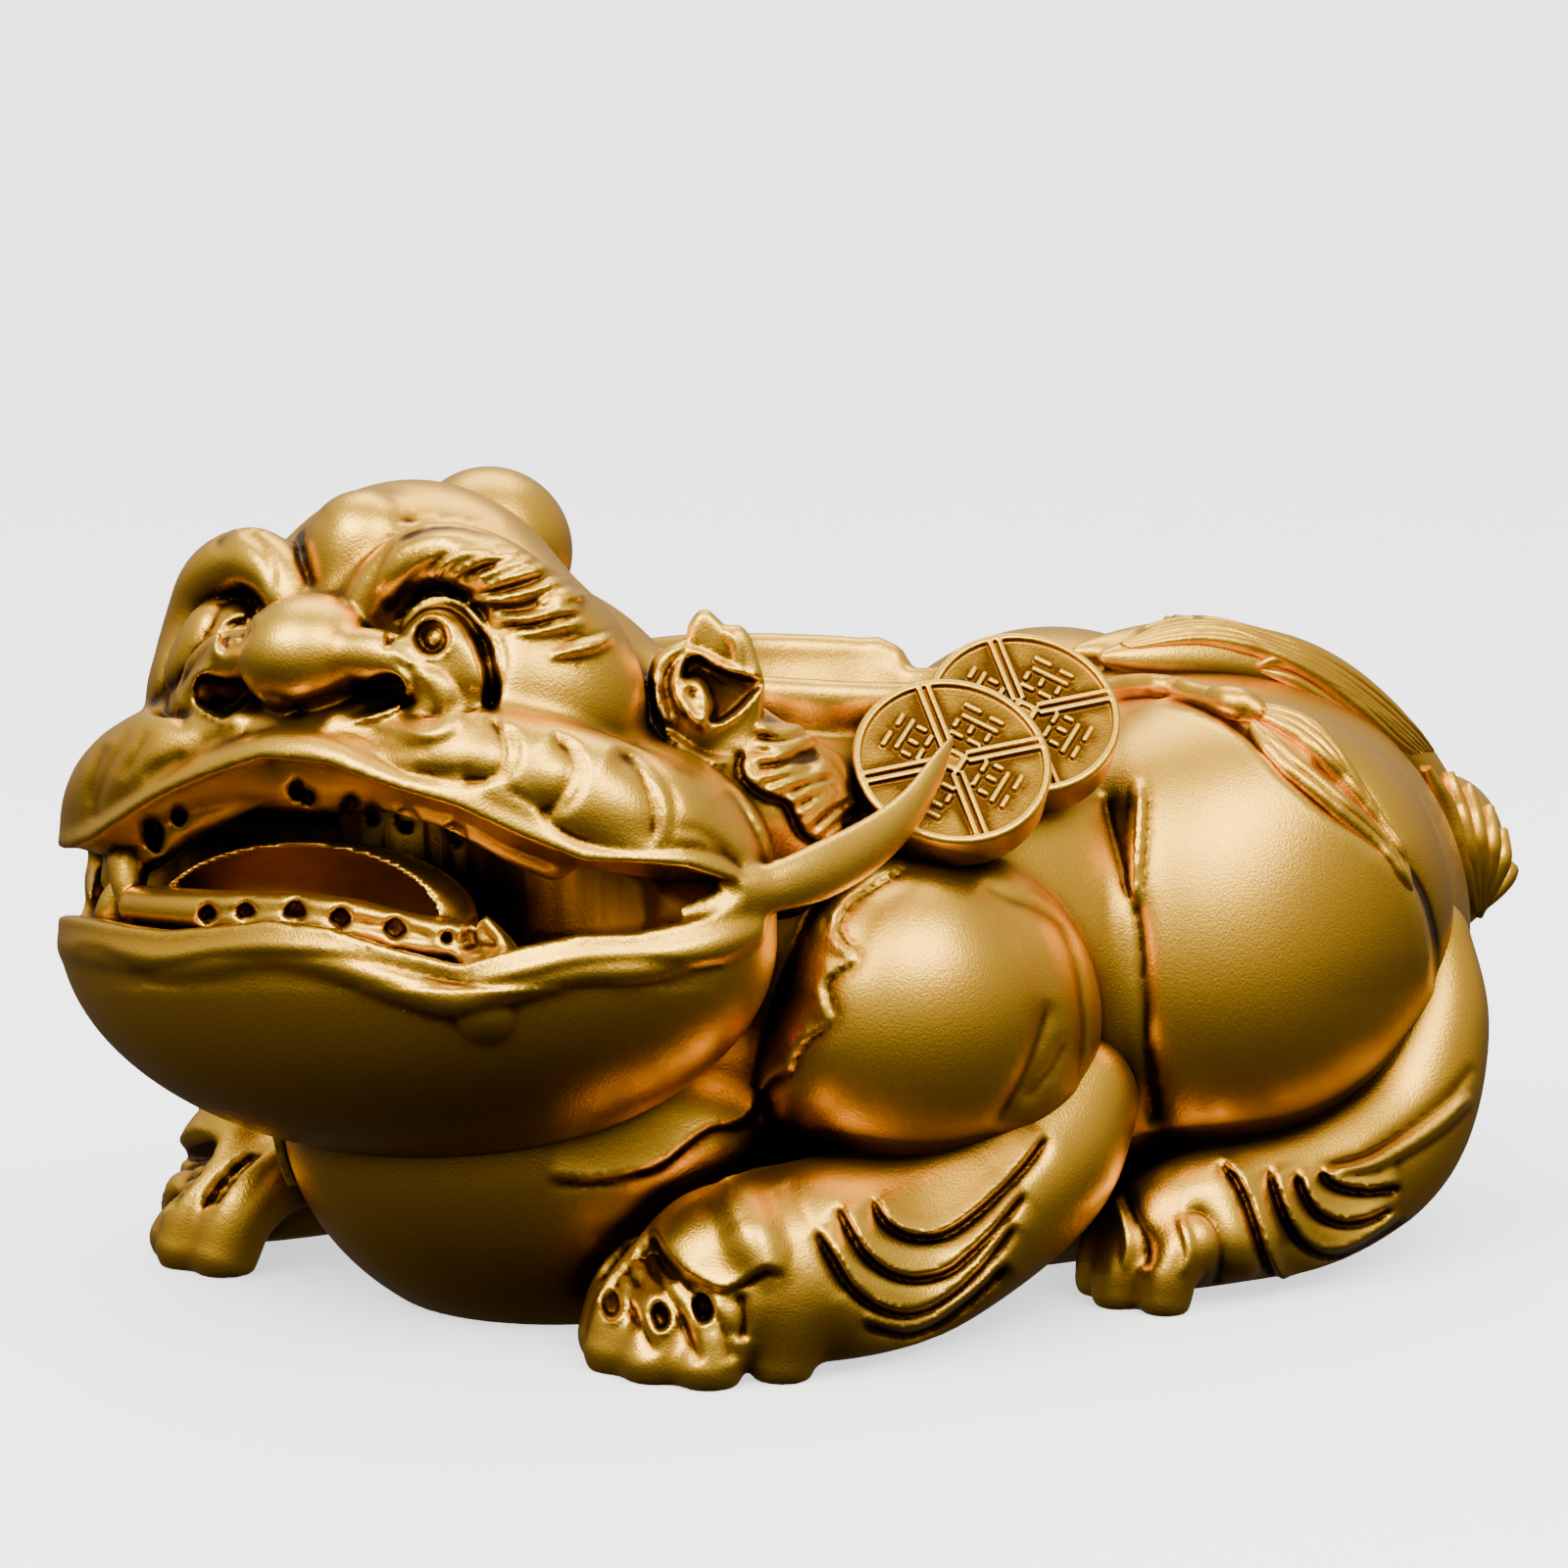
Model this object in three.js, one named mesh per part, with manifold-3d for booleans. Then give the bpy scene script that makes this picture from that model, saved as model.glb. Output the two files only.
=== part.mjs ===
// A pixiu lying on its belly, cast in one piece and painted gold. Its head is turned to its left with the
// mouth open, two coins hang on a cord over its left side, and an open bowl is sunk in its back.
// It faces -Y, its left side is +X and +Z is up. The origin is on the ground under the middle of its box.

import * as THREE from 'three';
import { mergeVertices } from 'three/addons/utils/BufferGeometryUtils.js';
import Module from 'manifold-3d';

const wasm = await Module();
wasm.setup();

// Driving sizes, in millimetres and degrees
const LENGTH = 250;
const COIN_DIAMETER = 30.5;
const COIN_THICKNESS = 7;
const COIN_RIM_WIDTH = 1.6;
const COIN_RELIEF = 0.9;
const COIN_BAR_WIDTH = 1.8;
const COIN_BOSS = 3;
const COIN_SIDES = 20;
const COIN_TILT = 43;
const COIN_HEADING = 68;
const CORD_DIAMETER = 6;
const BOWL_WIDTH = 50;
const BOWL_LENGTH = 58;
const BOWL_DEPTH = 24;
const TAIL_FLUTES = 7;
const TAIL_FLUTE_DEPTH = 0.1;
const HEAD_TURN = 28;
const HEAD_ROLL = -4;
const HEAD_NOD = -4;

// The animal's forms are shares of its length: they are written in 250ths of it.
const UNIT = LENGTH / 250;
const LEFT = 1;
const RIGHT = -1;
const SIDES = [LEFT, RIGHT];
const RIGHT_PAW_LEAD = 31;

const GOLD = new THREE.MeshStandardMaterial({ color: 0xb5812f, roughness: 0.38, metalness: 0.85 });

function at(x, y, z) {
  return new THREE.Vector3(x, y, z).multiplyScalar(UNIT);
}

// Basic forms

// A ball stretched to three radii, then turned (degrees about X, Y, Z) and placed.
function egg(centre, radii, turn = [0, 0, 0], fineness = 1) {
  const ball = new THREE.IcosahedronGeometry(1, fineness);
  const [a, b, c] = turn.map(THREE.MathUtils.degToRad);
  const rotation = new THREE.Quaternion().setFromEuler(new THREE.Euler(a, b, c, 'ZYX'));
  return ball.applyMatrix4(new THREE.Matrix4().compose(at(...centre), rotation, at(...radii)));
}

// A rounded limb along a smooth curve. Each knot is x, y, z and the radius there. The section is flattened
// by the factor flat along the direction face.
function limb(knots, { flat = 1, face = [0, 0, 1], around = 10, along = 10 } = {}) {
  const curve = new THREE.CatmullRomCurve3(knots.map(([x, y, z]) => at(x, y, z)), false, 'centripetal');
  const radii = knots.map((knot) => knot[3] * UNIT);
  const reach = curve.getLength();
  const profile = [];
  for (let i = 0; i <= along; i += 1) {
    const share = (1 - Math.cos((Math.PI * i) / along)) / 2;
    profile.push(new THREE.Vector2(limbRadius(share, radii, curve, reach), share));
  }
  const skin = new THREE.LatheGeometry(profile, around);
  const places = skin.getAttribute('position');
  const facing = new THREE.Vector3(...face);
  for (let i = 0; i < places.count; i += 1) {
    const share = THREE.MathUtils.clamp(places.getY(i), 0, 1);
    const tangent = curve.getTangentAt(share);
    const up = facing.clone().addScaledVector(tangent, -facing.dot(tangent)).normalize();
    const across = new THREE.Vector3().crossVectors(tangent, up);
    const place = curve.getPointAt(share);
    place.addScaledVector(across, places.getX(i));
    place.addScaledVector(up, places.getZ(i) * flat);
    places.setXYZ(i, place.x, place.y, place.z);
  }
  return skin;
}

// The radius of a limb at a share of its reach: the knots' radii, rounded off to nothing at both ends.
function limbRadius(share, radii, curve, reach) {
  const place = curve.getUtoTmapping(share) * (radii.length - 1);
  const knot = Math.min(Math.floor(place), radii.length - 2);
  const radius = THREE.MathUtils.lerp(radii[knot], radii[knot + 1], place - knot);
  const toStart = Math.min(1, (share * reach) / radii[0]);
  const toEnd = Math.min(1, ((1 - share) * reach) / radii[radii.length - 1]);
  return radius * Math.sqrt((1 - (1 - toStart) ** 2) * (1 - (1 - toEnd) ** 2));
}

// The place of a flat form whose Z looks along a direction, and whose X is level before it is turned.
function laid(centre, facing, turn) {
  const level = new THREE.Vector3(-facing.y, facing.x, 0).normalize();
  const slope = new THREE.Vector3().crossVectors(facing, level);
  return new THREE.Matrix4()
    .makeBasis(level, slope, facing)
    .setPosition(centre)
    .multiply(new THREE.Matrix4().makeRotationZ(THREE.MathUtils.degToRad(turn)));
}

// Solids

function solid(geometry) {
  const bare = geometry.index ? geometry.clone() : geometry;
  bare.deleteAttribute('normal');
  bare.deleteAttribute('uv');
  const welded = mergeVertices(bare, 1e-4);
  const corners = welded.index.array;
  const faces = [];
  for (let i = 0; i < corners.length; i += 3) {
    const [a, b, c] = corners.slice(i, i + 3);
    if (a !== b && b !== c && c !== a) {
      faces.push(a, b, c);
    }
  }
  const turned = volumeOf(welded.getAttribute('position'), faces) < 0 ? faces.reverse() : faces;
  const mesh = new wasm.Mesh({
    numProp: 3,
    vertProperties: new Float32Array(welded.getAttribute('position').array),
    triVerts: new Uint32Array(turned),
  });
  return new wasm.Manifold(mesh);
}

function volumeOf(places, faces) {
  const [a, b, c] = [new THREE.Vector3(), new THREE.Vector3(), new THREE.Vector3()];
  let volume = 0;
  for (let i = 0; i < faces.length; i += 3) {
    a.fromBufferAttribute(places, faces[i]);
    b.fromBufferAttribute(places, faces[i + 1]);
    c.fromBufferAttribute(places, faces[i + 2]);
    volume += a.dot(b.cross(c)) / 6;
  }
  return volume;
}

function joined(forms) {
  return forms.map(solid).reduce((whole, next) => whole.add(next));
}

function cutFrom(whole, forms) {
  return forms.map(solid).reduce((rest, next) => rest.subtract(next), whole);
}

// A cast figure is solid throughout: the tiny pockets sealed where forms cross are filled.
function filled(whole) {
  return whole.decompose().filter((piece) => piece.volume() > 0).reduce((sum, next) => sum.add(next));
}

// Head, in its own frame: -Y forward, middle of the mouth at the origin

const HEAD_PLACE = new THREE.Matrix4()
  .makeTranslation(at(5, -82, 75))
  .multiply(new THREE.Matrix4().makeRotationZ(THREE.MathUtils.degToRad(HEAD_TURN)))
  .multiply(new THREE.Matrix4().makeRotationY(THREE.MathUtils.degToRad(HEAD_ROLL)))
  .multiply(new THREE.Matrix4().makeRotationX(THREE.MathUtils.degToRad(HEAD_NOD)));

function skull() {
  const forms = [
    egg([-1, -8, -14], [62, 35, 34], [0, 0, 0], 3),
    egg([0, -8, -2], [60, 33.5, 24], [0, 0, 0], 2),
    egg([0, -6, 20], [31, 23, 34], [0, 0, 0], 2),
    egg([0, 14, 43], [12.5, 13.5, 13], [0, 0, 0], 1),
    egg([0, 14, 8], [36, 24, 32]),
    egg([0, 18, 0], [58, 22, 30], [0, 0, 0], 2),
  ];
  for (const side of SIDES) {
    forms.push(egg([side * 24, -12, 20], [18.5, 17.5, 19.5]));
  }
  return forms;
}

function brows() {
  const forms = [egg([0, -20, 43.5], [8, 7, 11])];
  for (const side of SIDES) {
    forms.push(
      limb([[side * 5, -27, 32, 2.5], [side * 9, -25, 39, 4], [side * 17, -23, 42.5, 5],
        [side * 26, -20, 39, 5.5], [side * 33, -16, 31, 5], [side * 37, -11, 21, 3]], { along: 7, around: 5 }),
      limb([[side * 20, -24, 38, 2], [side * 29, -21, 37, 2.5], [side * 36, -13, 36, 1]], { along: 3, around: 4 }),
    );
  }
  return forms;
}

function nose() {
  const forms = [
    limb([[0, -18, 46, 6], [0, -26, 38, 6.5], [0, -31, 32, 8], [0, -33, 26, 7]], { along: 4, around: 6 }),
    egg([0, -31, 30], [11, 10.5, 10]),
  ];
  for (const side of SIDES) {
    forms.push(egg([side * 14, -31, 22], [9, 8, 6.5], [0, side * 12, 0], 1));
  }
  return forms;
}

function nostrils() {
  return SIDES.map((side) => egg([side * 12, -39, 22.5], [6.5, 6, 3.4], [0, side * 14, 0], 1));
}

// The folds of the cheeks overlap like scales from the nose back to the corners of the mouth.
function cheeks() {
  const folds = [[29, 13, 9], [47, 10, 10], [68, 5, 12]];
  const forms = [];
  for (const side of SIDES) {
    for (const [degrees, z, size] of folds) {
      const turn = side * THREE.MathUtils.degToRad(degrees);
      const heading = THREE.MathUtils.radToDeg(Math.atan2(34 * Math.sin(turn), 60 * Math.cos(turn)));
      const place = [54 * Math.sin(turn), -8 - 28 * Math.cos(turn), z];
      forms.push(egg(place, [size, 7, size + 1], [0, 0, heading], 1));
    }
  }
  return forms;
}

// The lips follow the oval of the mouth: the upper one arches under the nose, the lower one dips at the fangs.
const UPPER_LIP = [[0, 14], [12, 13.5], [24, 9], [36, 5], [48, 0.5], [62, -1], [76, -2.5], [92, -4]];
const LOWER_LIP = [[0, -12.5], [15, -13.5], [30, -16], [45, -14], [62, -14], [78, -12.5], [92, -8]];

function lipKnots(profile, out, radius) {
  const half = profile.map(([degrees, z]) => {
    const turn = THREE.MathUtils.degToRad(degrees);
    return [(60 + out) * Math.sin(turn), -8 - (34 + out) * Math.cos(turn), z, radius];
  });
  const mirrored = half.slice(1).reverse().map(([x, y, z, r]) => [-x, y, z, r]);
  return [...mirrored, ...half];
}

function lips() {
  return [
    limb(lipKnots(UPPER_LIP, -1, 3.6), { along: 15, around: 4 }),
    limb(lipKnots(LOWER_LIP, -0.5, 3.6), { along: 14, around: 4 }),
  ];
}

// What opens the mouth: a lens-shaped hollow between the lips, deep enough for the tongue.
function mouthHollow() {
  return [
    egg([0, -32, -1], [42, 30, 9.5], [0, 0, 0], 2),
    egg([0, -34, 4], [25, 25, 8.5]),
  ];
}

function mouthInside() {
  const forms = [egg([0, -16, -7], [27, 23, 9.5])];
  const gum = [[-36, -24, -10, 3], [-24, -33, -10, 3.5], [0, -37.5, -9.5, 3.5], [24, -33, -11, 3.5], [36, -24, -12, 3]];
  forms.push(limb(gum, { along: 9, around: 4 }));
  forms.push(egg([25, -31, -10], [3.6, 3.6, 6.5]));
  forms.push(egg([-34, -24, -6], [4.5, 4, 6.5], [0, 10, 0]));
  return forms;
}

function eyeSockets() {
  return SIDES.map((side) => egg([side * 20, -30, 29], [11.5, 9.5, 8.5], [0, side * 20, 0]));
}

function eyes() {
  return SIDES.map((side) => egg([side * 19, -22.5, 29], [7.8, 6.8, 7.3]));
}

function pupils() {
  return SIDES.map((side) => egg([side * 19.8, -30.2, 30.2], [2.4, 2.6, 2.4], [0, 0, 0], 0));
}

// An ear is a curled shell with a rolled bud inside it and a petal standing up behind.
function ears() {
  const forms = [];
  for (const side of SIDES) {
    forms.push(
      limb([[side * 38, 24, 22, 2], [side * 43, 13, 26, 3.5], [side * 44, 3, 24, 4.5], [side * 44, -2, 17, 4.5],
        [side * 44, 4, 9, 4], [side * 42, 14, 9, 3.5], [side * 40, 24, 17, 2]], { along: 9, around: 4 }),
      egg([side * 42, 6, 17], [6, 7, 7], [0, 0, 0], 0),
      egg([side * 34, 15, 24], [6, 8, 9], [0, side * -10, 0], 0),
    );
  }
  return forms;
}

// A long whisker sweeps back from each corner of the mouth and curls up to a point.
function whiskers() {
  const forms = [];
  for (const side of SIDES) {
    const knots = [[side * 54, -20, -6, 2.5], [side * 60, -10, -6, 3.5], [side * 62.5, 2, -5.2, 4.5],
      [side * 63.5, 13, -3, 5], [side * 64.5, 23, 1, 4.5], [side * 65.5, 31, 6, 3], [side * 66.5, 41, 13, 0.8]];
    forms.push(limb(knots, { flat: 1.2, face: [0, 0, 1], along: 9, around: 5 }));
  }
  return forms;
}

// Locks of hair run back from each ear over the collar.
function locks() {
  const rows = [[[48, 10, 18], [52, 25, 15]], [[49, 9, 13], [54, 24, 8]], [[50, 8, 9], [57, 25, 2]]];
  const forms = [];
  for (const side of SIDES) {
    for (const [root, tip] of rows) {
      const middle = root.map((value, i) => (value + tip[i]) / 2);
      forms.push(limb([[side * root[0], root[1], root[2], 4], [side * (middle[0] + 1), middle[1], middle[2] + 1, 4],
        [side * tip[0], tip[1], tip[2], 1.5]], { along: 3, around: 4 }));
    }
  }
  return forms;
}

function head() {
  const face = joined([...skull(), ...brows(), ...nose(), ...cheeks(), ...lips()]);
  const opened = cutFrom(face, [...mouthHollow(), ...nostrils(), ...eyeSockets()]);
  const dressed = opened.add(joined([...mouthInside(), ...eyes(), ...ears(), ...whiskers(), ...locks()]));
  return cutFrom(dressed, pupils()).transform(HEAD_PLACE.toArray());
}

// Body

function trunk() {
  return [
    egg([0, 20, 43], [50, 88, 50], [0, 0, 0], 3),
    egg([0, 64, 52], [42, 48, 46], [0, 0, 0], 2),
    egg([-4, -57, 30], [43.5, 44.5, 37.5], [0, 0, 0], 2),
    egg([0, -48, 58], [46, 38, 36], [0, 0, 0], 2),
    egg([0, -12, 56], [47, 46, 42], [0, 0, 0], 2),
  ];
}

function haunches() {
  return [
    egg([27, 46, 54], [33, 41, 37], [0, 0, 0], 3),
    egg([27, 35, 42], [32, 29, 28], [0, 0, 0], 2),
    egg([-27, 49, 58], [33, 38, 38], [0, 0, 0], 2),
    egg([-27, 36, 42], [32, 28, 27], [0, 0, 0], 1),
  ];
}

function shoulders() {
  return [egg([42, -20, 46], [22, 28, 27], [0, 0, 0], 3), egg([-40, -44, 46], [20.5, 28.5, 27.5], [0, 0, 0], 2)];
}

const TOE_MESH = { along: 3, around: 4 };

// A front leg lies along the ground. The right one is stretched further forward than the left.
function frontLeg(side, forward, spread) {
  const place = (x, y, z, r) => [side * x, y - forward, z, r];
  const forms = [
    limb([place(46, 4, 32, 13), place(49, -6, 24, 16), place(54, -28, 15, 17), place(55, -45, 13, 17),
      place(49, -64, 12, 14)], { along: 7, around: 8 }),
  ];
  for (const [x, y, r] of spread) {
    forms.push(limb([place(x, y + 12, 9, r), place(x, y, 8, r), place(x, y - 7, 4, r * 0.8)], TOE_MESH));
  }
  return forms;
}

function hindLeg(side) {
  const forms = [
    limb([[side * 39, 82, 50, 7], [side * 43, 78, 36, 12], [side * 47, 68, 21, 14.5], [side * 51, 48, 14, 14],
      [side * 52, 28, 12, 13], [side * 51, 14, 9, 9]], { along: 7, around: 8 }),
  ];
  for (const [x, y] of [[44, 17], [51, 15], [58, 19]]) {
    forms.push(limb([[side * x, y + 12, 9, 4.5], [side * x, y, 8, 5], [side * x, y - 7, 4, 4]], TOE_MESH));
  }
  return forms;
}

const FRONT_TOES = [[36, -66, 5.5], [44, -69, 5.5], [52, -67, 5.5], [59, -62, 5.5]];

function legs() {
  return [
    ...frontLeg(LEFT, 0, FRONT_TOES),
    ...frontLeg(RIGHT, RIGHT_PAW_LEAD, FRONT_TOES),
    ...hindLeg(LEFT),
    ...hindLeg(RIGHT),
  ];
}

// The collar of hair ends in scallops that run from the chest over each shoulder to the corner of the mouth.
function collar() {
  const edge = [[8, -99, 22], [20, -93, 25], [29, -83.5, 26], [35, -74, 26], [37, -63, 29.5], [38, -54, 34.5],
    [46, -48, 44], [51, -44, 52], [50.5, -40, 61], [46, -35, 68], [43, -22, 73]];
  return SIDES.map((side) => {
    const forward = side === RIGHT ? RIGHT_PAW_LEAD / 2 : 0;
    const knots = edge.map(([x, y, z], i) => [side * x, y - forward * (i / edge.length), z, 2.2 + 1.4 * (i % 2)]);
    return limb(knots, { flat: 0.8, along: 12, around: 4 });
  });
}

// The skin folds in crescents behind each elbow, and creases where the left haunch meets the flank.
const ELBOW_FOLDS = [
  [[63.5, -39, 26.7, 1], [69, -34, 21, 1.8], [68.5, -25, 20.5, 1.8], [62.8, -11, 31.5, 1]],
  [[63, -44, 26, 1], [70.5, -39.5, 17, 1.8], [71.2, -30, 15.5, 1.8], [66.5, -12, 24.7, 1]],
];

function creases() {
  const forms = [limb([[41, 21, 80, 0.8], [45.5, 17, 70, 1.8], [48, 15, 58, 1]], { along: 4, around: 4 })];
  for (const side of SIDES) {
    const lead = side === RIGHT ? RIGHT_PAW_LEAD : 0;
    for (const fold of ELBOW_FOLDS) {
      forms.push(limb(fold.map(([x, y, z, r]) => [side * x, y - lead, z, r]), { along: 5, around: 3 }));
    }
  }
  return forms;
}

// The mane falls from the bowl to the tail in long locks that part along the spine.
function mane() {
  const forms = [];
  for (const side of SIDES) {
    for (let i = 0; i < 3; i += 1) {
      const out = side * (3 + 5 * i);
      forms.push(limb([[side * (1 + i), 36 + 4 * i, 95 - 0.5 * i, 2], [out, 60, 95 - 1.5 * i, 4],
        [out, 84, 86 - 2 * i, 4], [out * 0.9, 106 - 3 * i, 71 - 1.5 * i, 1.5]], { along: 6, around: 4 }));
    }
  }
  return forms;
}

// The tail fans out against the rump like a shell: its flutes run from the root above to the tips below.
function tail() {
  const skin = new THREE.SphereGeometry(1, 4 * TAIL_FLUTES, 6);
  const places = skin.getAttribute('position');
  for (let i = 0; i < places.count; i += 1) {
    const turn = Math.atan2(places.getZ(i), places.getX(i));
    const swell = 1 + TAIL_FLUTE_DEPTH * Math.cos(2 * TAIL_FLUTES * turn);
    places.setXYZ(i, places.getX(i) * swell, places.getY(i), places.getZ(i) * swell);
  }
  const lean = new THREE.Matrix4().makeRotationX(THREE.MathUtils.degToRad(90 - 14));
  const shape = new THREE.Matrix4().makeScale(14 * UNIT, 17 * UNIT, 10.5 * UNIT);
  return [skin.applyMatrix4(shape).applyMatrix4(lean).translate(4 * UNIT, 107 * UNIT, 57 * UNIT)];
}

// Coins, cord and tassel on the left side

const COIN_FACING = new THREE.Vector3().setFromSphericalCoords(1,
  THREE.MathUtils.degToRad(90 - COIN_TILT), THREE.MathUtils.degToRad(COIN_HEADING));
const COIN_AXIS = new THREE.Vector3(COIN_FACING.x, -COIN_FACING.z, COIN_FACING.y);

// A coin is a disc with a raised layer: its rim and a cross of bars, between four sunk quarters.
function coin(centre, turn) {
  const radius = COIN_DIAMETER / 2;
  const disc = new THREE.Shape().absarc(0, 0, radius, 0, 2 * Math.PI);
  const raised = disc.clone();
  for (let i = 0; i < 4; i += 1) {
    raised.holes.push(coinQuarter((i * Math.PI) / 2, radius - COIN_RIM_WIDTH));
  }
  const full = { depth: COIN_THICKNESS, bevelEnabled: false, curveSegments: COIN_SIDES / 2 };
  const face = new THREE.ExtrudeGeometry(raised, full).translate(0, 0, -COIN_THICKNESS);
  const core = new THREE.ExtrudeGeometry(disc, { ...full, depth: COIN_THICKNESS - COIN_RELIEF });
  return joined([face, core.translate(0, 0, -COIN_THICKNESS)])
    .transform(laid(centre, COIN_AXIS, turn).toArray());
}

function coinQuarter(start, outer) {
  const inner = COIN_BAR_WIDTH / 2;
  const lean = Math.asin(inner / outer);
  const corner = (x, y) => new THREE.Vector2(x, y).rotateAround(new THREE.Vector2(), start);
  const near = corner(inner + COIN_BOSS, inner);
  const far = corner(inner, inner + COIN_BOSS);
  const outline = new THREE.Path().moveTo(near.x, near.y);
  const steps = COIN_SIDES / 4;
  for (let i = 0; i <= steps; i += 1) {
    const turn = start + lean + ((Math.PI / 2 - 2 * lean) * i) / steps;
    outline.lineTo(outer * Math.cos(turn), outer * Math.sin(turn));
  }
  return outline.lineTo(far.x, far.y).closePath();
}

function coins() {
  const front = at(44, -15.1, 86.8);
  const rear = at(35.8, 3, 92);
  return coin(front, 12).add(coin(rear, 12));
}

function cordAndTassel() {
  const forms = [
    limb([[28, 16, 90, CORD_DIAMETER / 2 / UNIT], [28, 30, 91, CORD_DIAMETER / 2 / UNIT],
      [28, 44, 89, CORD_DIAMETER / 2 / UNIT]], { along: 5, around: 6 }),
    egg([29.5, 50, 86.5], [4.5, 5.5, 4.5]),
  ];
  for (const drop of [0, 1, 2]) {
    forms.push(limb([[30, 52, 86 - drop, 2.2], [36 + drop, 58 + 2 * drop, 80 - 2 * drop, 3.4],
      [41 + drop, 65 + 2 * drop, 71 - 2 * drop, 3], [43, 72 + drop, 60 - drop, 1]], { along: 5, around: 5 }));
  }
  return forms;
}

// The bowl and its rolled rim, which is open towards the tail

const BOWL_CENTRE = [-1, -12, 97];

function bowlRim() {
  const knots = [];
  for (let degrees = -130; degrees <= 130; degrees += 26) {
    const turn = THREE.MathUtils.degToRad(degrees);
    const across = BOWL_WIDTH / 2 / UNIT + 2;
    const back = BOWL_LENGTH / 2 / UNIT + 2;
    knots.push([BOWL_CENTRE[0] + across * Math.sin(turn), BOWL_CENTRE[1] - back * Math.cos(turn),
      96.5 + 3 * Math.cos(turn), 3]);
  }
  return limb(knots, { along: 14, around: 4 });
}

function bowl() {
  return [egg(BOWL_CENTRE, [BOWL_WIDTH / 2 / UNIT, BOWL_LENGTH / 2 / UNIT, BOWL_DEPTH / UNIT], [0, 0, 0], 2)];
}

function body() {
  const hulk = joined([...trunk(), ...haunches(), ...shoulders(), ...legs(), ...mane(), ...tail(), ...collar()]);
  const hollowed = cutFrom(hulk, [...bowl(), ...creases()]);
  return hollowed.add(joined([bowlRim(), ...cordAndTassel()])).add(coins());
}

function ground() {
  const size = 3 * LENGTH;
  return new THREE.BoxGeometry(size, size, size).translate(0, 0, -size / 2);
}

// The whole figure

function pixiu() {
  const whole = filled(cutFrom(body().add(head()), [ground()]));
  const { numProp, vertProperties, triVerts } = whole.getMesh();
  const geometry = new THREE.BufferGeometry();
  const places = new Float32Array((vertProperties.length / numProp) * 3);
  for (let i = 0; i < places.length / 3; i += 1) {
    places.set(vertProperties.subarray(i * numProp, i * numProp + 3), i * 3);
  }
  geometry.setAttribute('position', new THREE.BufferAttribute(places, 3));
  geometry.setIndex(new THREE.BufferAttribute(new Uint32Array(triVerts), 1));
  geometry.computeBoundingBox();
  const middle = geometry.boundingBox.getCenter(new THREE.Vector3());
  geometry.translate(-middle.x, -middle.y, 0);
  geometry.computeVertexNormals();
  const mesh = new THREE.Mesh(geometry, GOLD);
  mesh.name = 'pixiu';
  return mesh;
}

const figure = new THREE.Group();
figure.add(pixiu());

export default figure;
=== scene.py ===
# A pixiu lying on its belly, cast in one piece and painted satin gold.
# Forms are drawn in millimetres: the animal faces -Y, its left side is +X and +Z is up.
import math
from functools import reduce

import bpy
import numpy as np
from mathutils import Matrix, Vector


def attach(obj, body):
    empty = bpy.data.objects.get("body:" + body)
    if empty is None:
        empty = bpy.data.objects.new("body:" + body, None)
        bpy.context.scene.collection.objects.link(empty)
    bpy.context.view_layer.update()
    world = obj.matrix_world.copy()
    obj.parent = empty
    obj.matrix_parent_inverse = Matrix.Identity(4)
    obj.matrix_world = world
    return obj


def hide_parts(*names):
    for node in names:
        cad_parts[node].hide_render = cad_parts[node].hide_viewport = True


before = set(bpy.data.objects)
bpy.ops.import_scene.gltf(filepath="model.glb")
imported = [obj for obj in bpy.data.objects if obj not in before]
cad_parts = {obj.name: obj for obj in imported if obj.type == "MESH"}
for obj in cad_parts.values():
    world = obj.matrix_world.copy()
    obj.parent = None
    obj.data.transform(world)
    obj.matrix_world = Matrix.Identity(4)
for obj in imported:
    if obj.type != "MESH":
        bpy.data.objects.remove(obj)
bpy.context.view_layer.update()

MM = 0.001
LEFT, RIGHT = 1, -1
SIDES = (LEFT, RIGHT)

# The forms are drawn from a point on the ground; the figure's origin lies under the middle of its box.
BOX_MIDDLE = (-0.935, -7.5, 0.0)

# The camera: its bearing and height seen from its aim, how far off it is, and the photograph it matches
CAMERA_TURN, CAMERA_RISE = 60.0, 8.5
CAMERA_AWAY = 760.0
CAMERA_AIM = (-9.0, -14.0, 76.0)
CAMERA_LENS = 108.0
PHOTO_SIDE = 1600
FILM_WIDTH = 36.0

# The middle of the mouth and how the head is turned, rolled and nodded, in degrees
HEAD_PLACE = (5.0, -82.0, 75.0)
HEAD_TURN, HEAD_ROLL, HEAD_NOD = 28.0, -4.0, -4.0

# How far the right forepaw stands ahead of the left one
RIGHT_PAW_LEAD = 31.0

# Grain of the modelled surfaces, and the most triangles of a piece
BODY_GRAIN = 0.72
HEAD_GRAIN = 0.55
LIMB_GRAIN = 0.5
MANE_GRAIN = 0.45
COIN_GRAIN = 0.22
MOST_FACES = 180000
LIMB_FACES = 90000
MANE_FACES = 90000
COIN_FACES = 60000

# A distance that stands for empty space
FAR = 60.0

# How far a drawing is smoothed, in pixels, and how deep it is pressed round the surface, in millimetres
DRAWING_SOFTNESS = 3
PRESS_REACH = 3.5

# What hides the surface from the camera: the cells of its picture in pixels, and how far behind the nearest
# skin a place may lie and still be seen, in millimetres, before it fades out over a span
SIGHT_CELL = 6
SIGHT_SLACK = 3
SIGHT_FADE = 2

# How squarely a surface faces the camera where a drawing starts to show, and the span to where it is full
GRAZING, FACING_SPAN, TWIN_SPAN = 0.06, 0.24, 0.4
LEAST_FACING = 0.15

# The surface is smoothed over these millimetres to tell what is carved in from what stands out, for the
# painted shade in carved-in places
CARVING_REACH = 1.6
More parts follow.
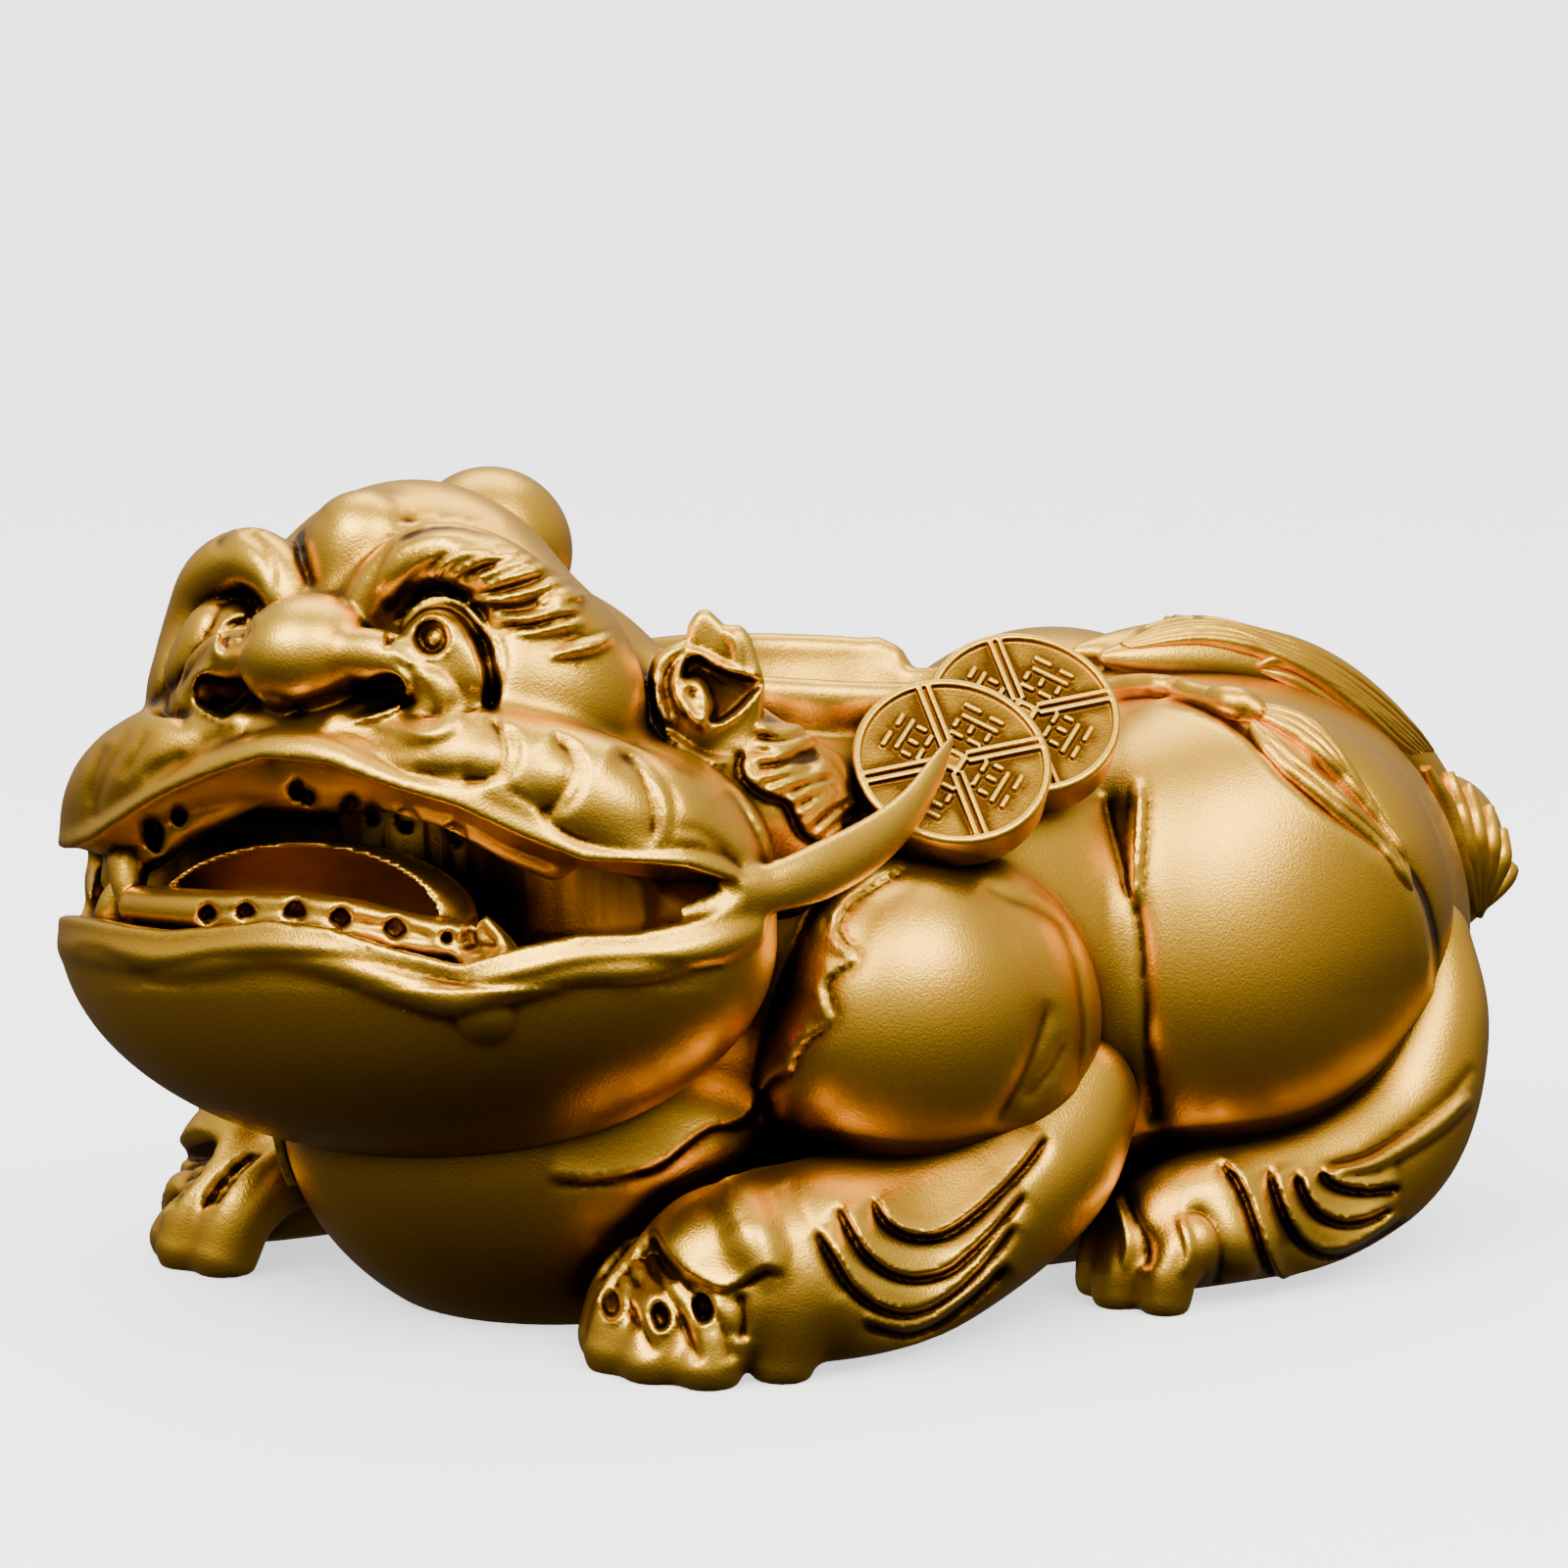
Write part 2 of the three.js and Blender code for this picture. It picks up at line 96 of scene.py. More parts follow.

# The space round the figure in which hollows are found for their painted shade, how far off the surface they
# are looked for, and how much more painted shade than by its hollows a surface gets that faces down
SPACE_LOW = np.array([-78.0, -136.0, -2.0])
SPACE_COUNT = (79, 136, 68)
SPACE_GRAIN = 2.0
OFF_SURFACE = 3
UNDERSIDE_SHADE = 0.22

# The corners of a cube
CORNERS = np.array([[corner & 1, corner >> 1 & 1, corner >> 2 & 1] for corner in range(8)])


# Forms and lines

class Form:
    """A shape as the box it reaches and its signed distance, negative inside."""
    def __init__(self, low, high, depth):
        self.low = np.asarray(low, float)
        self.high = np.asarray(high, float)
        self.depth = depth


def turned(turn):
    """Rotation about X, then Y, then Z, in degrees."""
    x, y, z = (Matrix.Rotation(math.radians(angle), 3, axis) for angle, axis in zip(turn, "XYZ"))
    return np.array(z @ y @ x)


def soft_min(a, b, blend):
    """The lower of two distances, rounded where they are close."""
    if blend <= 0:
        return np.minimum(a, b)
    near = np.maximum(blend - np.abs(a - b), 0) / blend
    return np.minimum(a, b) - near * near * (blend / 4)


def rounded(edge, *away):
    """Distance to a form with rounded edges, from how far off its sides, drawn in by the edge, a place is."""
    outside = np.sqrt(sum(np.maximum(part, 0) ** 2 for part in away))
    return outside + np.minimum(reduce(np.maximum, away), 0) - edge


def egg(centre, radii, turn=(0, 0, 0)):
    """An egg-shaped mass, turned about its own centre."""
    axes = turned(turn)
    reach = np.sqrt(((axes * np.asarray(radii, float)) ** 2).sum(1))
    middle = np.asarray(centre, float)

    def depth(x, y, z):
        x, y, z = x - np.float32(middle[0]), y - np.float32(middle[1]), z - np.float32(middle[2])
        if any(turn):
            rows = axes.T.astype(np.float32)
            x, y, z = (row[0] * x + row[1] * y + row[2] * z for row in rows)
        a, b, c = (np.float32(1 / radius) for radius in radii)
        share = np.sqrt((x * a) ** 2 + (y * b) ** 2 + (z * c) ** 2)
        slope = np.sqrt((x * a * a) ** 2 + (y * b * b) ** 2 + (z * c * c) ** 2)
        return share * (share - 1) / np.maximum(slope, 1e-6)

    return Form(middle - reach, middle + reach, depth)


def smooth_path(knots, steps):
    """Points on a smooth curve through the knots; a knot may carry more numbers than its place."""
    knots = np.asarray(knots, float)
    ends = np.vstack([2 * knots[0] - knots[1], knots, 2 * knots[-1] - knots[-2]])
    points = []
    for i in range(len(knots) - 1):
        before, start, end, after = ends[i:i + 4]
        for t in np.arange(steps) / steps:
            square = (2 * before - 5 * start + 4 * end - after) * t ** 2
            cube = (3 * start - before - 3 * end + after) * t ** 3
            points.append(0.5 * (2 * start + (end - before) * t + square + cube))
    points.append(knots[-1])
    return np.array(points)


def closed_path(outline):
    """A smooth closed curve through the knots of an outline."""
    return smooth_path(list(outline) + list(outline[:1]), 4)[:-1]


def eased(height, share):
    """A height that comes in gently while a share goes from nought to one."""
    share = np.clip(share, 0, 1)
    return height * share * share * (3 - 2 * share)


def rope(knots, flat=1.0, face=(0, 0, 1), steps=6):
    """A rounded strand along a smooth curve, thinned by flat along its face; a knot is a place and radius."""
    path = smooth_path(knots, steps)
    path[:, 3] = np.maximum(path[:, 3], 0.15)
    facing = np.asarray(face, float) / np.linalg.norm(face)
    stretch = np.float32(1 / flat ** 2 - 1)
    widest = path[:, 3].max() + 0.5

    def depth(x, y, z):
        shape = np.broadcast_shapes(x.shape, y.shape, z.shape)
        nearest = np.full(shape, FAR, np.float32)
        margin = widest + 6
        for start, end in zip(path[:-1], path[1:]):
            low = np.minimum(start, end)[:3] - margin
            high = np.maximum(start, end)[:3] + margin
            ends = zip((x, y, z), low, high)
            cut = tuple(slice(*np.searchsorted(axis.ravel(), (first, last))) for axis, first, last in ends)
            if any(part.start >= part.stop for part in cut):
                continue
            u = x[cut[0], :, :] - np.float32(start[0])
            v = y[:, cut[1], :] - np.float32(start[1])
            w = z[:, :, cut[2]] - np.float32(start[2])
            step = (end - start).astype(np.float32)
            length = float(step[:3] @ step[:3]) + 1e-9
            along = np.clip((u * step[0] + v * step[1] + w * step[2]) / length, 0, 1)
            u, v, w = u - along * step[0], v - along * step[1], w - along * step[2]
            across = u * u + v * v + w * w
            if flat != 1.0:
                lift = sum(part * np.float32(share) for part, share in zip((u, v, w), facing))
                across = across + stretch * lift * lift
            away = np.sqrt(across) - (np.float32(start[3]) + along * step[3])
            nearest[cut] = np.minimum(nearest[cut], away)
        return nearest

    return Form(path[:, :3].min(0) - widest, path[:, :3].max(0) + widest, depth)


def melted(forms, blend):
    """Several forms flowing into one another."""
    def depth(x, y, z):
        whole = forms[0].depth(x, y, z)
        for form in forms[1:]:
            whole = soft_min(whole, form.depth(x, y, z), blend)
        return whole
    return Form(np.min([form.low for form in forms], 0), np.max([form.high for form in forms], 0), depth)


def spaced(points):
    """How far along a line each of its points lies."""
    steps = np.linalg.norm(np.diff(points, axis=0), axis=1)
    return np.concatenate([[0], np.cumsum(steps)])


def scalloped(knots, lobe, height):
    """A smooth flat line through the knots, swelling in lobes to the left of its way."""
    path = smooth_path(knots, 10)
    way = np.gradient(path, axis=0)
    left = np.stack([-way[:, 1], way[:, 0]], 1) / np.linalg.norm(way, axis=1)[:, None]
    return path + left * (height * np.abs(np.sin(math.pi * spaced(path) / lobe)))[:, None]


def off_outline(points, u, v):
    """How far places in a plane lie outside a closed outline, negative inside."""
    shape = np.broadcast_shapes(u.shape, v.shape)
    nearest = np.full(shape, 1e9, np.float32)
    inside = np.zeros(shape, bool)
    for (a, b), (c, d) in zip(points, np.roll(points, -1, 0)):
        along = np.clip(((u - a) * (c - a) + (v - b) * (d - b)) / ((c - a) ** 2 + (d - b) ** 2 + 1e-9), 0, 1)
        nearest = np.minimum(nearest, (u - a - along * (c - a)) ** 2 + (v - b - along * (d - b)) ** 2)
        inside ^= ((b > v) != (d > v)) & (u < a + (v - b) * (c - a) / (d - b if d != b else 1e-9))
    return np.where(inside, -1, 1) * np.sqrt(nearest)


def sheet(points, axis, low, high):
    """The space inside an outline seen along an axis, between two places on it."""
    points = np.asarray(points, float)

    def depth(*place):
        edge = off_outline(points, *(place[i] for i in range(3) if i != axis))
        return np.maximum(edge, np.maximum(low - place[axis], place[axis] - high))

    box = [points.min(0), points.max(0)]
    return Form(np.insert(box[0], axis, low), np.insert(box[1], axis, high), depth)


def carved(form, hollow):
    """A form with another cut out of it."""
    def depth(x, y, z):
        return np.maximum(form.depth(x, y, z), -hollow.depth(x, y, z))
    return Form(form.low, form.high, depth)


def toward(turn, rise):
    """The direction of something at that bearing and height, in degrees."""
    turn, rise = math.radians(turn), math.radians(rise)
    level = math.cos(rise)
    return np.array([math.sin(turn) * level, -math.cos(turn) * level, math.sin(rise)])


def camera_axes():
    """Directions from the aim back to the camera, across its picture and up it."""
    turn = math.radians(CAMERA_TURN)
    back = toward(CAMERA_TURN, CAMERA_RISE)
    across = np.array([math.cos(turn), math.sin(turn), 0])
    return back, across, np.cross(back, across)


def moved(points, place):
    """Points put in a place."""
    return points @ place[:3, :3].T + place[:3, 3]


def photographed(points):
    """Where points of the figure fall in the photograph, in its pixels, and how far off they are."""
    back, across, up = camera_axes()
    offset = points - np.array(CAMERA_AIM)
    away = CAMERA_AWAY - offset @ back
    scale = PHOTO_SIDE * CAMERA_LENS / FILM_WIDTH / away
    return PHOTO_SIDE / 2 + scale * (offset @ across), PHOTO_SIDE / 2 - scale * (offset @ up), away


def cutout(outline, place, centre, reach, thick, edge, side):
    """A slab that faces the camera, with rounded edges and an outline drawn over the photograph."""
    path = closed_path(outline)
    middle = photographed(place[:3, :3] @ np.asarray(centre, float) + place[:3, 3])[2]
    scale = middle * FILM_WIDTH / CAMERA_LENS / PHOTO_SIDE
    spot = np.array([side * centre[0], *centre[1:]])

    def depth(x, y, z):
        points = np.stack(np.broadcast_arrays(side * x, y, z), -1)
        u, v, away = photographed(moved(points, place))
        return rounded(edge, off_outline(path, u, v) * scale + edge,
                       np.abs(away - middle) - thick + edge).astype(np.float32)

    return Form(spot - reach, spot + reach, depth)


def mirrored(knots, side):
    """The knots of a left side's strand, on the side given."""
    return [[side * knot[0], *knot[1:]] for knot in knots]


# Clay

def between(values, place):
    """Values of a grid at places between its points."""
    base = np.clip(np.floor(place).astype(int), 0, np.array(values.shape) - 2)
    share = np.clip(place - base, 0, 1)
    total = np.zeros(len(place))
    for corner in CORNERS:
        weight = np.prod(np.where(corner, share, 1 - share), axis=1)
        total += weight * values[tuple((base + corner).T)]
    return total


class Clay:
    """A block of space that forms are added to and cut from, as distances on a grid."""
    def __init__(self, low, high, grain):
        self.low = np.asarray(low, float)
        self.grain = grain
        self.count = [int(math.ceil((b - a) / grain)) + 1 for a, b in zip(low, high)]
        self.depth = np.full(self.count, FAR, np.float32)

    def window(self, form, margin):
        """The part of the grid round a form, and the places along its three edges."""
        cut, axes = [], []
        for i in range(3):
            first = max(0, int((form.low[i] - margin - self.low[i]) / self.grain))
            last = min(self.count[i], int((form.high[i] + margin - self.low[i]) / self.grain) + 2)
            cut.append(slice(first, max(first, last)))
            shape = [1, 1, 1]
            shape[i] = -1
            places = self.low[i] + self.grain * np.arange(first, max(first, last))
            axes.append(places.astype(np.float32).reshape(shape))
        return tuple(cut), axes

    def add(self, form, blend=0.0):
        """Melt a form into the clay, rounding the seam over a blend in millimetres."""
        cut, axes = self.window(form, blend + 2 * self.grain + 3)
        self.depth[cut] = soft_min(self.depth[cut], form.depth(*axes), blend)

    def cut(self, form, blend=0.0):
        """Cut a form out of the clay, rounding the edge over a blend in millimetres."""
        cut, axes = self.window(form, blend + 2 * self.grain)
        self.depth[cut] = -soft_min(-self.depth[cut], form.depth(*axes), blend)

    def swell(self, form, height, edge=0.8, gutter=0.0):
        """Raise the surface inside a form as a step, with a gutter sunk along the foot of the step."""
        cut, axes = self.window(form, 3 * edge + 1)
        off = form.depth(*axes)
        change = eased(height, 0.5 - off / edge)
        if gutter:
            change = change - gutter * np.exp(-((off - 0.9 * edge) / (0.7 * edge)) ** 2)
        self.depth[cut] -= change.astype(np.float32)

    def soften(self, reach):
        """Smooth the surface over that many millimetres."""
        for _ in range(int(2 * (reach / self.grain) ** 2)):
            for axis in range(3):
                back = np.roll(self.depth, 1, axis)
                ahead = np.roll(self.depth, -1, axis)
                self.depth = 0.5 * self.depth + 0.25 * (back + ahead)

    def stand(self):
        """Cut away what lies below the ground."""
        level = (self.low[2] + self.grain * np.arange(self.count[2])).astype(np.float32)
        self.depth = np.maximum(self.depth, -level)

    def sample(self, points, values):
        """Values of a grid over the clay, at points of it."""
        return between(values, (points - self.low) / self.grain)

    def skin(self):
        """Points and four-cornered faces of the surface where the distance is nought."""
        depth = self.depth
        inside = depth < 0
        mixed = np.zeros([n - 1 for n in self.count], np.int8)
        for corner in CORNERS:
            mixed += inside[tuple(slice(a, a + n) for a, n in zip(corner, mixed.shape))]
        cells = np.argwhere((mixed > 0) & (mixed < 8))
        number = np.full(mixed.shape, -1, np.int32)
        number[tuple(cells.T)] = np.arange(len(cells))
        at_corner = [depth[tuple((cells + corner).T)] for corner in CORNERS]
        total = np.zeros((len(cells), 3))
        hits = np.zeros(len(cells))
        for first in range(8):
            for axis in range(3):
                if CORNERS[first][axis]:
                    continue
                second = first | 1 << axis
                a, b = at_corner[first], at_corner[second]
                crossed = (a < 0) != (b < 0)
                share = np.where(crossed, a / np.where(crossed, a - b, 1), 0)
                point = np.tile(CORNERS[first].astype(float), (len(cells), 1))
                point[:, axis] += share
                total += point * crossed[:, None]
                hits += crossed
        points = self.low + self.grain * (cells + total / hits[:, None])
        faces = []
        for axis in range(3):
            a = inside[tuple(slice(0, -1) if i == axis else slice(1, -1) for i in range(3))]
            b = inside[tuple(slice(1, None) if i == axis else slice(1, -1) for i in range(3))]
            for flips, wanted in ((False, a & ~b), (True, ~a & b)):
                edge = np.argwhere(wanted) + [0 if i == axis else 1 for i in range(3)]
                u, v = [i for i in range(3) if i != axis]
                ring = []
                for back_u, back_v in ((1, 1), (0, 1), (0, 0), (1, 0)):
                    cell = edge.copy()
                    cell[:, u] -= back_u
                    cell[:, v] -= back_v
                    ring.append(number[tuple(cell.T)])
                quads = np.stack(ring, 1)
                faces.append(quads[:, ::-1] if flips != (axis == 1) else quads)
        return points, np.vstack(faces)


class Drawing:
    """Heights in millimetres over part of the photograph, drawn with lines in its pixels."""
    def __init__(self, left, top, right, bottom):
        self.corner = np.array([left, top])
        self.height = np.zeros((right - left, bottom - top), np.float32)

    def area(self, path, reach):
        """The part of the drawing round a path, and the pixels along its two edges."""
        path = path[:, :2]
        low = np.maximum(np.floor(path.min(0) - reach).astype(int) - self.corner, 0)
        high = np.minimum(np.ceil(path.max(0) + reach).astype(int) - self.corner + 1, self.height.shape)
        u, v = (np.arange(low[i], high[i]) + self.corner[i] for i in range(2))
        return (slice(low[0], high[0]), slice(low[1], high[1])), u[:, None], v[None, :]

    def near(self, knots, reach):
        """The part of the drawing near a smooth line: off it, along it, to its side and the width there."""
        path = smooth_path(knots, 5)
        area, u, v = self.area(path, reach)
        u, v = u.astype(np.float32), v.astype(np.float32)
        off = np.full((len(u), v.shape[1]), 1e9, np.float32)
        share, side, width = np.zeros_like(off), np.zeros_like(off), np.ones_like(off)
        gone = spaced(path[:, :2])
        for i, (start, end) in enumerate(zip(path[:-1], path[1:])):
            step = end - start
            du, dv = u - start[0], v - start[1]
            along = np.clip((du * step[0] + dv * step[1]) / (step[0] ** 2 + step[1] ** 2 + 1e-9), 0, 1)
            away = (du - along * step[0]) ** 2 + (dv - along * step[1]) ** 2
            closer = away < off
            off = np.where(closer, away, off)
            share = np.where(closer, (gone[i] + along * (gone[i + 1] - gone[i])) / gone[-1], share)
            side = np.where(closer, step[0] * dv - step[1] * du, side)
            if len(step) > 2:
                width = np.where(closer, start[2] + along * step[2], width)
        return area, np.sqrt(off), share, side, np.maximum(width, 0.3)

    def strands(self, height, *lines, ends=0.2):
        """Rounded strands lying side by side; a knot is a place and the half width there."""
        heap = np.zeros_like(self.height)
        for knots in lines:
            area, off, share, _, width = self.near(knots, max(knot[2] for knot in knots) + 1)
            rise = np.sqrt(np.clip(1 - (off / width) ** 2, 0, 1)) * faded(share, ends)
            heap[area] = np.maximum(heap[area], rise)
        self.height += height * heap

    def crease(self, knots, depth, left, right, ends=0.15):
        """A sunken line, rounding off over a width in pixels to the left and to the right of its way."""
        area, off, share, side, _ = self.near(knots, 3 * max(left, right))
        self.height[area] -= depth * np.exp(-off / np.where(side < 0, left, right)) * faded(share, ends)

    def ledge(self, knots, rise, drop, left=14, right=6, ends=0.12):
        """A step along a line: raised to the left of its way and sunk to the right."""
        area, off, share, side, _ = self.near(knots, 3 * max(left, right))
        change = np.where(side < 0, rise * np.exp(-off / left), -drop * np.exp(-off / right))
        self.height[area] += change * faded(share, ends)

    def patch(self, outline, height, soft):
        """Raise the inside of a closed outline, with an edge of a width in pixels."""
        path = closed_path(outline)
        area, u, v = self.area(path, soft)
        self.height[area] += eased(height, 0.5 - off_outline(path, u, v) / soft)

    def press(self, clay, place=np.eye(4), twin=0.0):
        """Raise and sink the clay where the camera sees it, and mirrored on its twin half by a share."""
        heights = blurred(self.height, DRAWING_SOFTNESS)
        cells = np.argwhere(np.abs(clay.depth[1:-1, 1:-1, 1:-1]) < PRESS_REACH) + 1
        slope = np.stack([clay.depth[tuple((cells + step).T)] - clay.depth[tuple((cells - step).T)]
                          for step in np.eye(3, dtype=int)], 1)
        points = clay.low + clay.grain * cells
        skin = np.abs(clay.depth[tuple(cells.T)]) < clay.grain
        back = camera_axes()[0]
        shown = None
        for half in (SIDES if twin else (LEFT,)):
            chosen = np.ones(len(points), bool) if half == LEFT else points[:, 0] < 0
            flip = np.array([half, 1, 1])
            u, v, away = photographed(moved(points * flip, place))
            way = (slope * flip) @ place[:3, :3].T
            facing = (way @ back) / np.maximum(np.linalg.norm(way, axis=1), 1e-6)
            seen = in_sight(u, v, away, facing, skin)
            if half == LEFT:
                shown = np.clip(1 + facing / TWIN_SPAN, 0, 1)
            else:
                seen = twin * seen * (1 - shown)
            u, v = u - self.corner[0], v - self.corner[1]
            inside = chosen & (u > 0) & (v > 0) & (u < heights.shape[0] - 1) & (v < heights.shape[1] - 1)
            u, v = u[inside], v[inside]
            i, j = u.astype(int), v.astype(int)
            a, b = u - i, v - j
            height = ((heights[i, j] * (1 - a) + heights[i + 1, j] * a) * (1 - b)
                      + (heights[i, j + 1] * (1 - a) + heights[i + 1, j + 1] * a) * b)
            clay.depth[tuple(cells[inside].T)] -= (height * seen[inside]).astype(np.float32)


def in_sight(u, v, away, facing, skin):
    """How far the camera sees each point, between nought and one, past the skin that stands before it."""
    side = PHOTO_SIDE // SIGHT_CELL
    column, row = (np.clip(part / SIGHT_CELL, 0, side - 1).astype(int) for part in (u, v))
    front = np.full((side, side), 1e9)
    np.minimum.at(front, (column[skin], row[skin]), away[skin])
    ahead = front[column, row] + PRESS_REACH / np.maximum(facing, LEAST_FACING) + SIGHT_SLACK - away
    return np.clip(ahead / SIGHT_FADE, 0, 1) * np.clip((facing - GRAZING) / FACING_SPAN, 0, 1)


def faded(share, ends):
    """Nought at both ends of a line and one between, easing over a share of its length."""
    return np.sqrt(np.clip(np.minimum(share, 1 - share) / max(ends, 1e-6), 0, 1))


def blurred(values, reach):
    """A box blur of a grid, the same along each axis."""
    for axis in range(values.ndim):
        before = np.repeat(np.take(values, [0], axis), reach + 1, axis)
        after = np.repeat(np.take(values, [-1], axis), reach, axis)
        padded = np.concatenate([before, values, after], axis)
        total = np.cumsum(padded, axis, dtype=np.float64)
        span = 2 * reach + 1
        high = np.take(total, range(span, span + values.shape[axis]), axis)
        low = np.take(total, range(values.shape[axis]), axis)
        values = ((high - low) / span).astype(np.float32)
    return values


def joined_up(points, faces):
    """The largest connected surface, without crumbs beside it."""
    part = np.arange(len(points))
    while True:
        lower = part.copy()
        np.minimum.at(lower, faces.ravel(), np.repeat(part[faces].min(1), faces.shape[1]))
        lower = lower[lower]
        if (lower == part).all():
            break
        part = lower
    faces = faces[part[faces[:, 0]] == np.bincount(part[faces[:, 0]]).argmax()]
    kept = np.unique(faces)
    return points[kept], np.searchsorted(kept, faces)


def mesh_piece(name, points, faces):
    """A plain mesh of four-cornered faces as a piece."""
    mesh = bpy.data.meshes.new(name)
    mesh.vertices.add(len(points))
    mesh.vertices.foreach_set("co", points.astype(np.float32).ravel())
    mesh.loops.add(faces.size)
    mesh.loops.foreach_set("vertex_index", faces.astype(np.int32).ravel())
    mesh.polygons.add(len(faces))
    mesh.polygons.foreach_set("loop_start", np.arange(0, faces.size, faces.shape[1], dtype=np.int32))
    mesh.update(calc_edges=True)
    mesh.validate()
    return linked(name, mesh)


def noted(mesh, name, values):
    """Keep a value for every point of a mesh."""
    mesh.attributes.new(name, "FLOAT", "POINT").data.foreach_set("value", values.astype(np.float32))


def linked(name, data):
    """A new object in the scene."""
    thing = bpy.data.objects.new(name, data)
    bpy.context.scene.collection.objects.link(thing)
    return thing


def applied(piece):
    """The piece with its modifiers made real."""
    shown = piece.evaluated_get(bpy.context.evaluated_depsgraph_get())
    mesh = bpy.data.meshes.new_from_object(shown)
    piece.modifiers.clear()
    old = piece.data
    piece.data = mesh
    mesh.name = piece.name
    bpy.data.meshes.remove(old)
    return piece


def sculpted(name, clay, place, most_faces):
    """The clay's surface as a piece, set in its place, with its fine carving in an attribute that the paint
    shows as painted shade.
    """
    points, faces = joined_up(*clay.skin())
    piece = mesh_piece(name, points, faces)
    if 2 * len(faces) > most_faces:
        thin = piece.modifiers.new("thin", "DECIMATE")
        thin.ratio = most_faces / (2 * len(faces))
        applied(piece)
    mesh = piece.data
    local = np.zeros(len(mesh.vertices) * 3)
    mesh.vertices.foreach_get("co", local)
    local = local.reshape(-1, 3)
    # The smoothed carving drives painted shade: carved-in places are painted darker in the gold.
    fine = clay.sample(local, blurred(clay.depth, max(1, round(CARVING_REACH / clay.grain))))
    noted(mesh, "carving", fine)
    mesh.vertices.foreach_set("co", ((moved(local, place) - BOX_MIDDLE) * MM).astype(np.float32).ravel())
    if np.linalg.det(place[:3, :3]) < 0:
        mesh.flip_normals()
    mesh.polygons.foreach_set("use_smooth", np.ones(len(mesh.polygons), bool))
    mesh.update()
    return piece


def paint_shade_in_hollows(pieces, clays):
    """Mark on every piece how much painted shade its surface gets: more where it is closed in, by how full of
    clay the space just off it is, and more where it faces down.
    """
    full = np.zeros(SPACE_COUNT, np.float32)
    cells = np.argwhere(full == 0)
    middles = SPACE_LOW + SPACE_GRAIN * cells
    for clay, place in clays:
        local = (middles - place[:3, 3]) @ np.linalg.inv(place[:3, :3]).T
        top = clay.low + clay.grain * (np.array(clay.count) - 1)
        inside = ((local > clay.low) & (local < top)).all(1)
        depth = clay.sample(local[inside], clay.depth)
        spots = tuple(cells[inside].T)
        full[spots] = np.maximum(full[spots], np.clip(0.5 - depth / SPACE_GRAIN, 0, 1))
    crowding = 0.5 * blurred(full, 2) + 0.5 * blurred(blurred(full, 3), 3)
    for piece in pieces:
        mesh = piece.data
        points, normals = np.zeros((2, len(mesh.vertices) * 3))
        mesh.vertices.foreach_get("co", points)
        mesh.vertices.foreach_get("normal", normals)
        points, normals = points.reshape(-1, 3), normals.reshape(-1, 3)
        off = points / MM + BOX_MIDDLE + OFF_SURFACE * normals
        hollow = between(crowding, (off - SPACE_LOW) / SPACE_GRAIN)
        # The hollow attribute holds painted shade: closed-in places and undersides are painted towards dark
        # brown, where shade falls.
        noted(mesh, "hollow", hollow + UNDERSIDE_SHADE * np.clip(-normals[:, 2], 0, 1))


def mirror_across(lead):
    """The place of a left limb's twin on the right, set forward by a lead."""
    place = np.diag([-1.0, 1.0, 1.0, 1.0])
    place[1, 3] = -lead
    return place


# Head, in its own frame: -Y forward, middle of the mouth at the origin

def head_place():
    """Where the head's frame sits on the body."""
    place = np.eye(4)
    place[:3, :3] = turned((HEAD_NOD, HEAD_ROLL, HEAD_TURN))
    place[:3, 3] = HEAD_PLACE
    return place


# The mouth's oval: half its width, how far it reaches forward of its middle, and where that middle lies
MOUTH_SIDE, MOUTH_FRONT, MOUTH_BACK = 60.0, 34.0, -8.0

# Heights along the mouth at each ten degrees, from its right corner round to its left
MOUTH_TURNS = range(-90, 91, 10)
UPPER_LIP = (-1.5, -0.3, -0.4, 0.1, 0.6, 2.1, 5.4, 9.2, 12.4, 15.1, 14.4, 11, 8.2, 3.8, 0.2, -0.3, -1.2, -3.2,
             -4.5)
UPPER_EDGE = (-4, -3, -3.5, -3.2, -2.2, -0.4, 3.6, 6.4, 9.2, 11, 10.3, 7.8, 5.6, 1, -2.1, -2.8, -3.8, -4.8,
              -5.5)
LOWER_LIP = (-15, -16, -15.2, -14.4, -14, -14, -14.4, -14.7, -13.7, -12.4, -13.3, -16.2, -18.5, -16, -14.4,
             -14.4, -13.3, -12, -10.6)

# How far in the mouth is hollow at each turn either way from its middle, as a share of its oval
THROAT_TURNS = (0, 30, 50, 65, 90)
THROAT_SHARES = (0.2, 0.2, 0.22, 0.32, 0.82)

# Heights of the lower gum at turns round the mouth
GUM_TURNS = (-40, 0, 10, 20, 35)
GUM_LEVELS = (-9.4, -9.2, -9.9, -11.8, -13.7)


def on_mouth(degrees, z, out=0.0):
    """A point on the oval of the mouth, out from it by some millimetres."""
    turn = math.radians(degrees)
    return [(MOUTH_SIDE + out) * math.sin(turn), MOUTH_BACK - (MOUTH_FRONT + out) * math.cos(turn), z]


def along_mouth(heights, out, radius, lift=0.0, first=-90, last=90, step=10):
    """Knots of a strand that follows the mouth between two turns, at heights read off a lip."""
    turns = np.arange(first, last + 1, step)
    levels = np.interp(turns, MOUTH_TURNS, heights) + lift
    return [on_mouth(turn, z, out) + [radius] for turn, z in zip(turns, levels)]


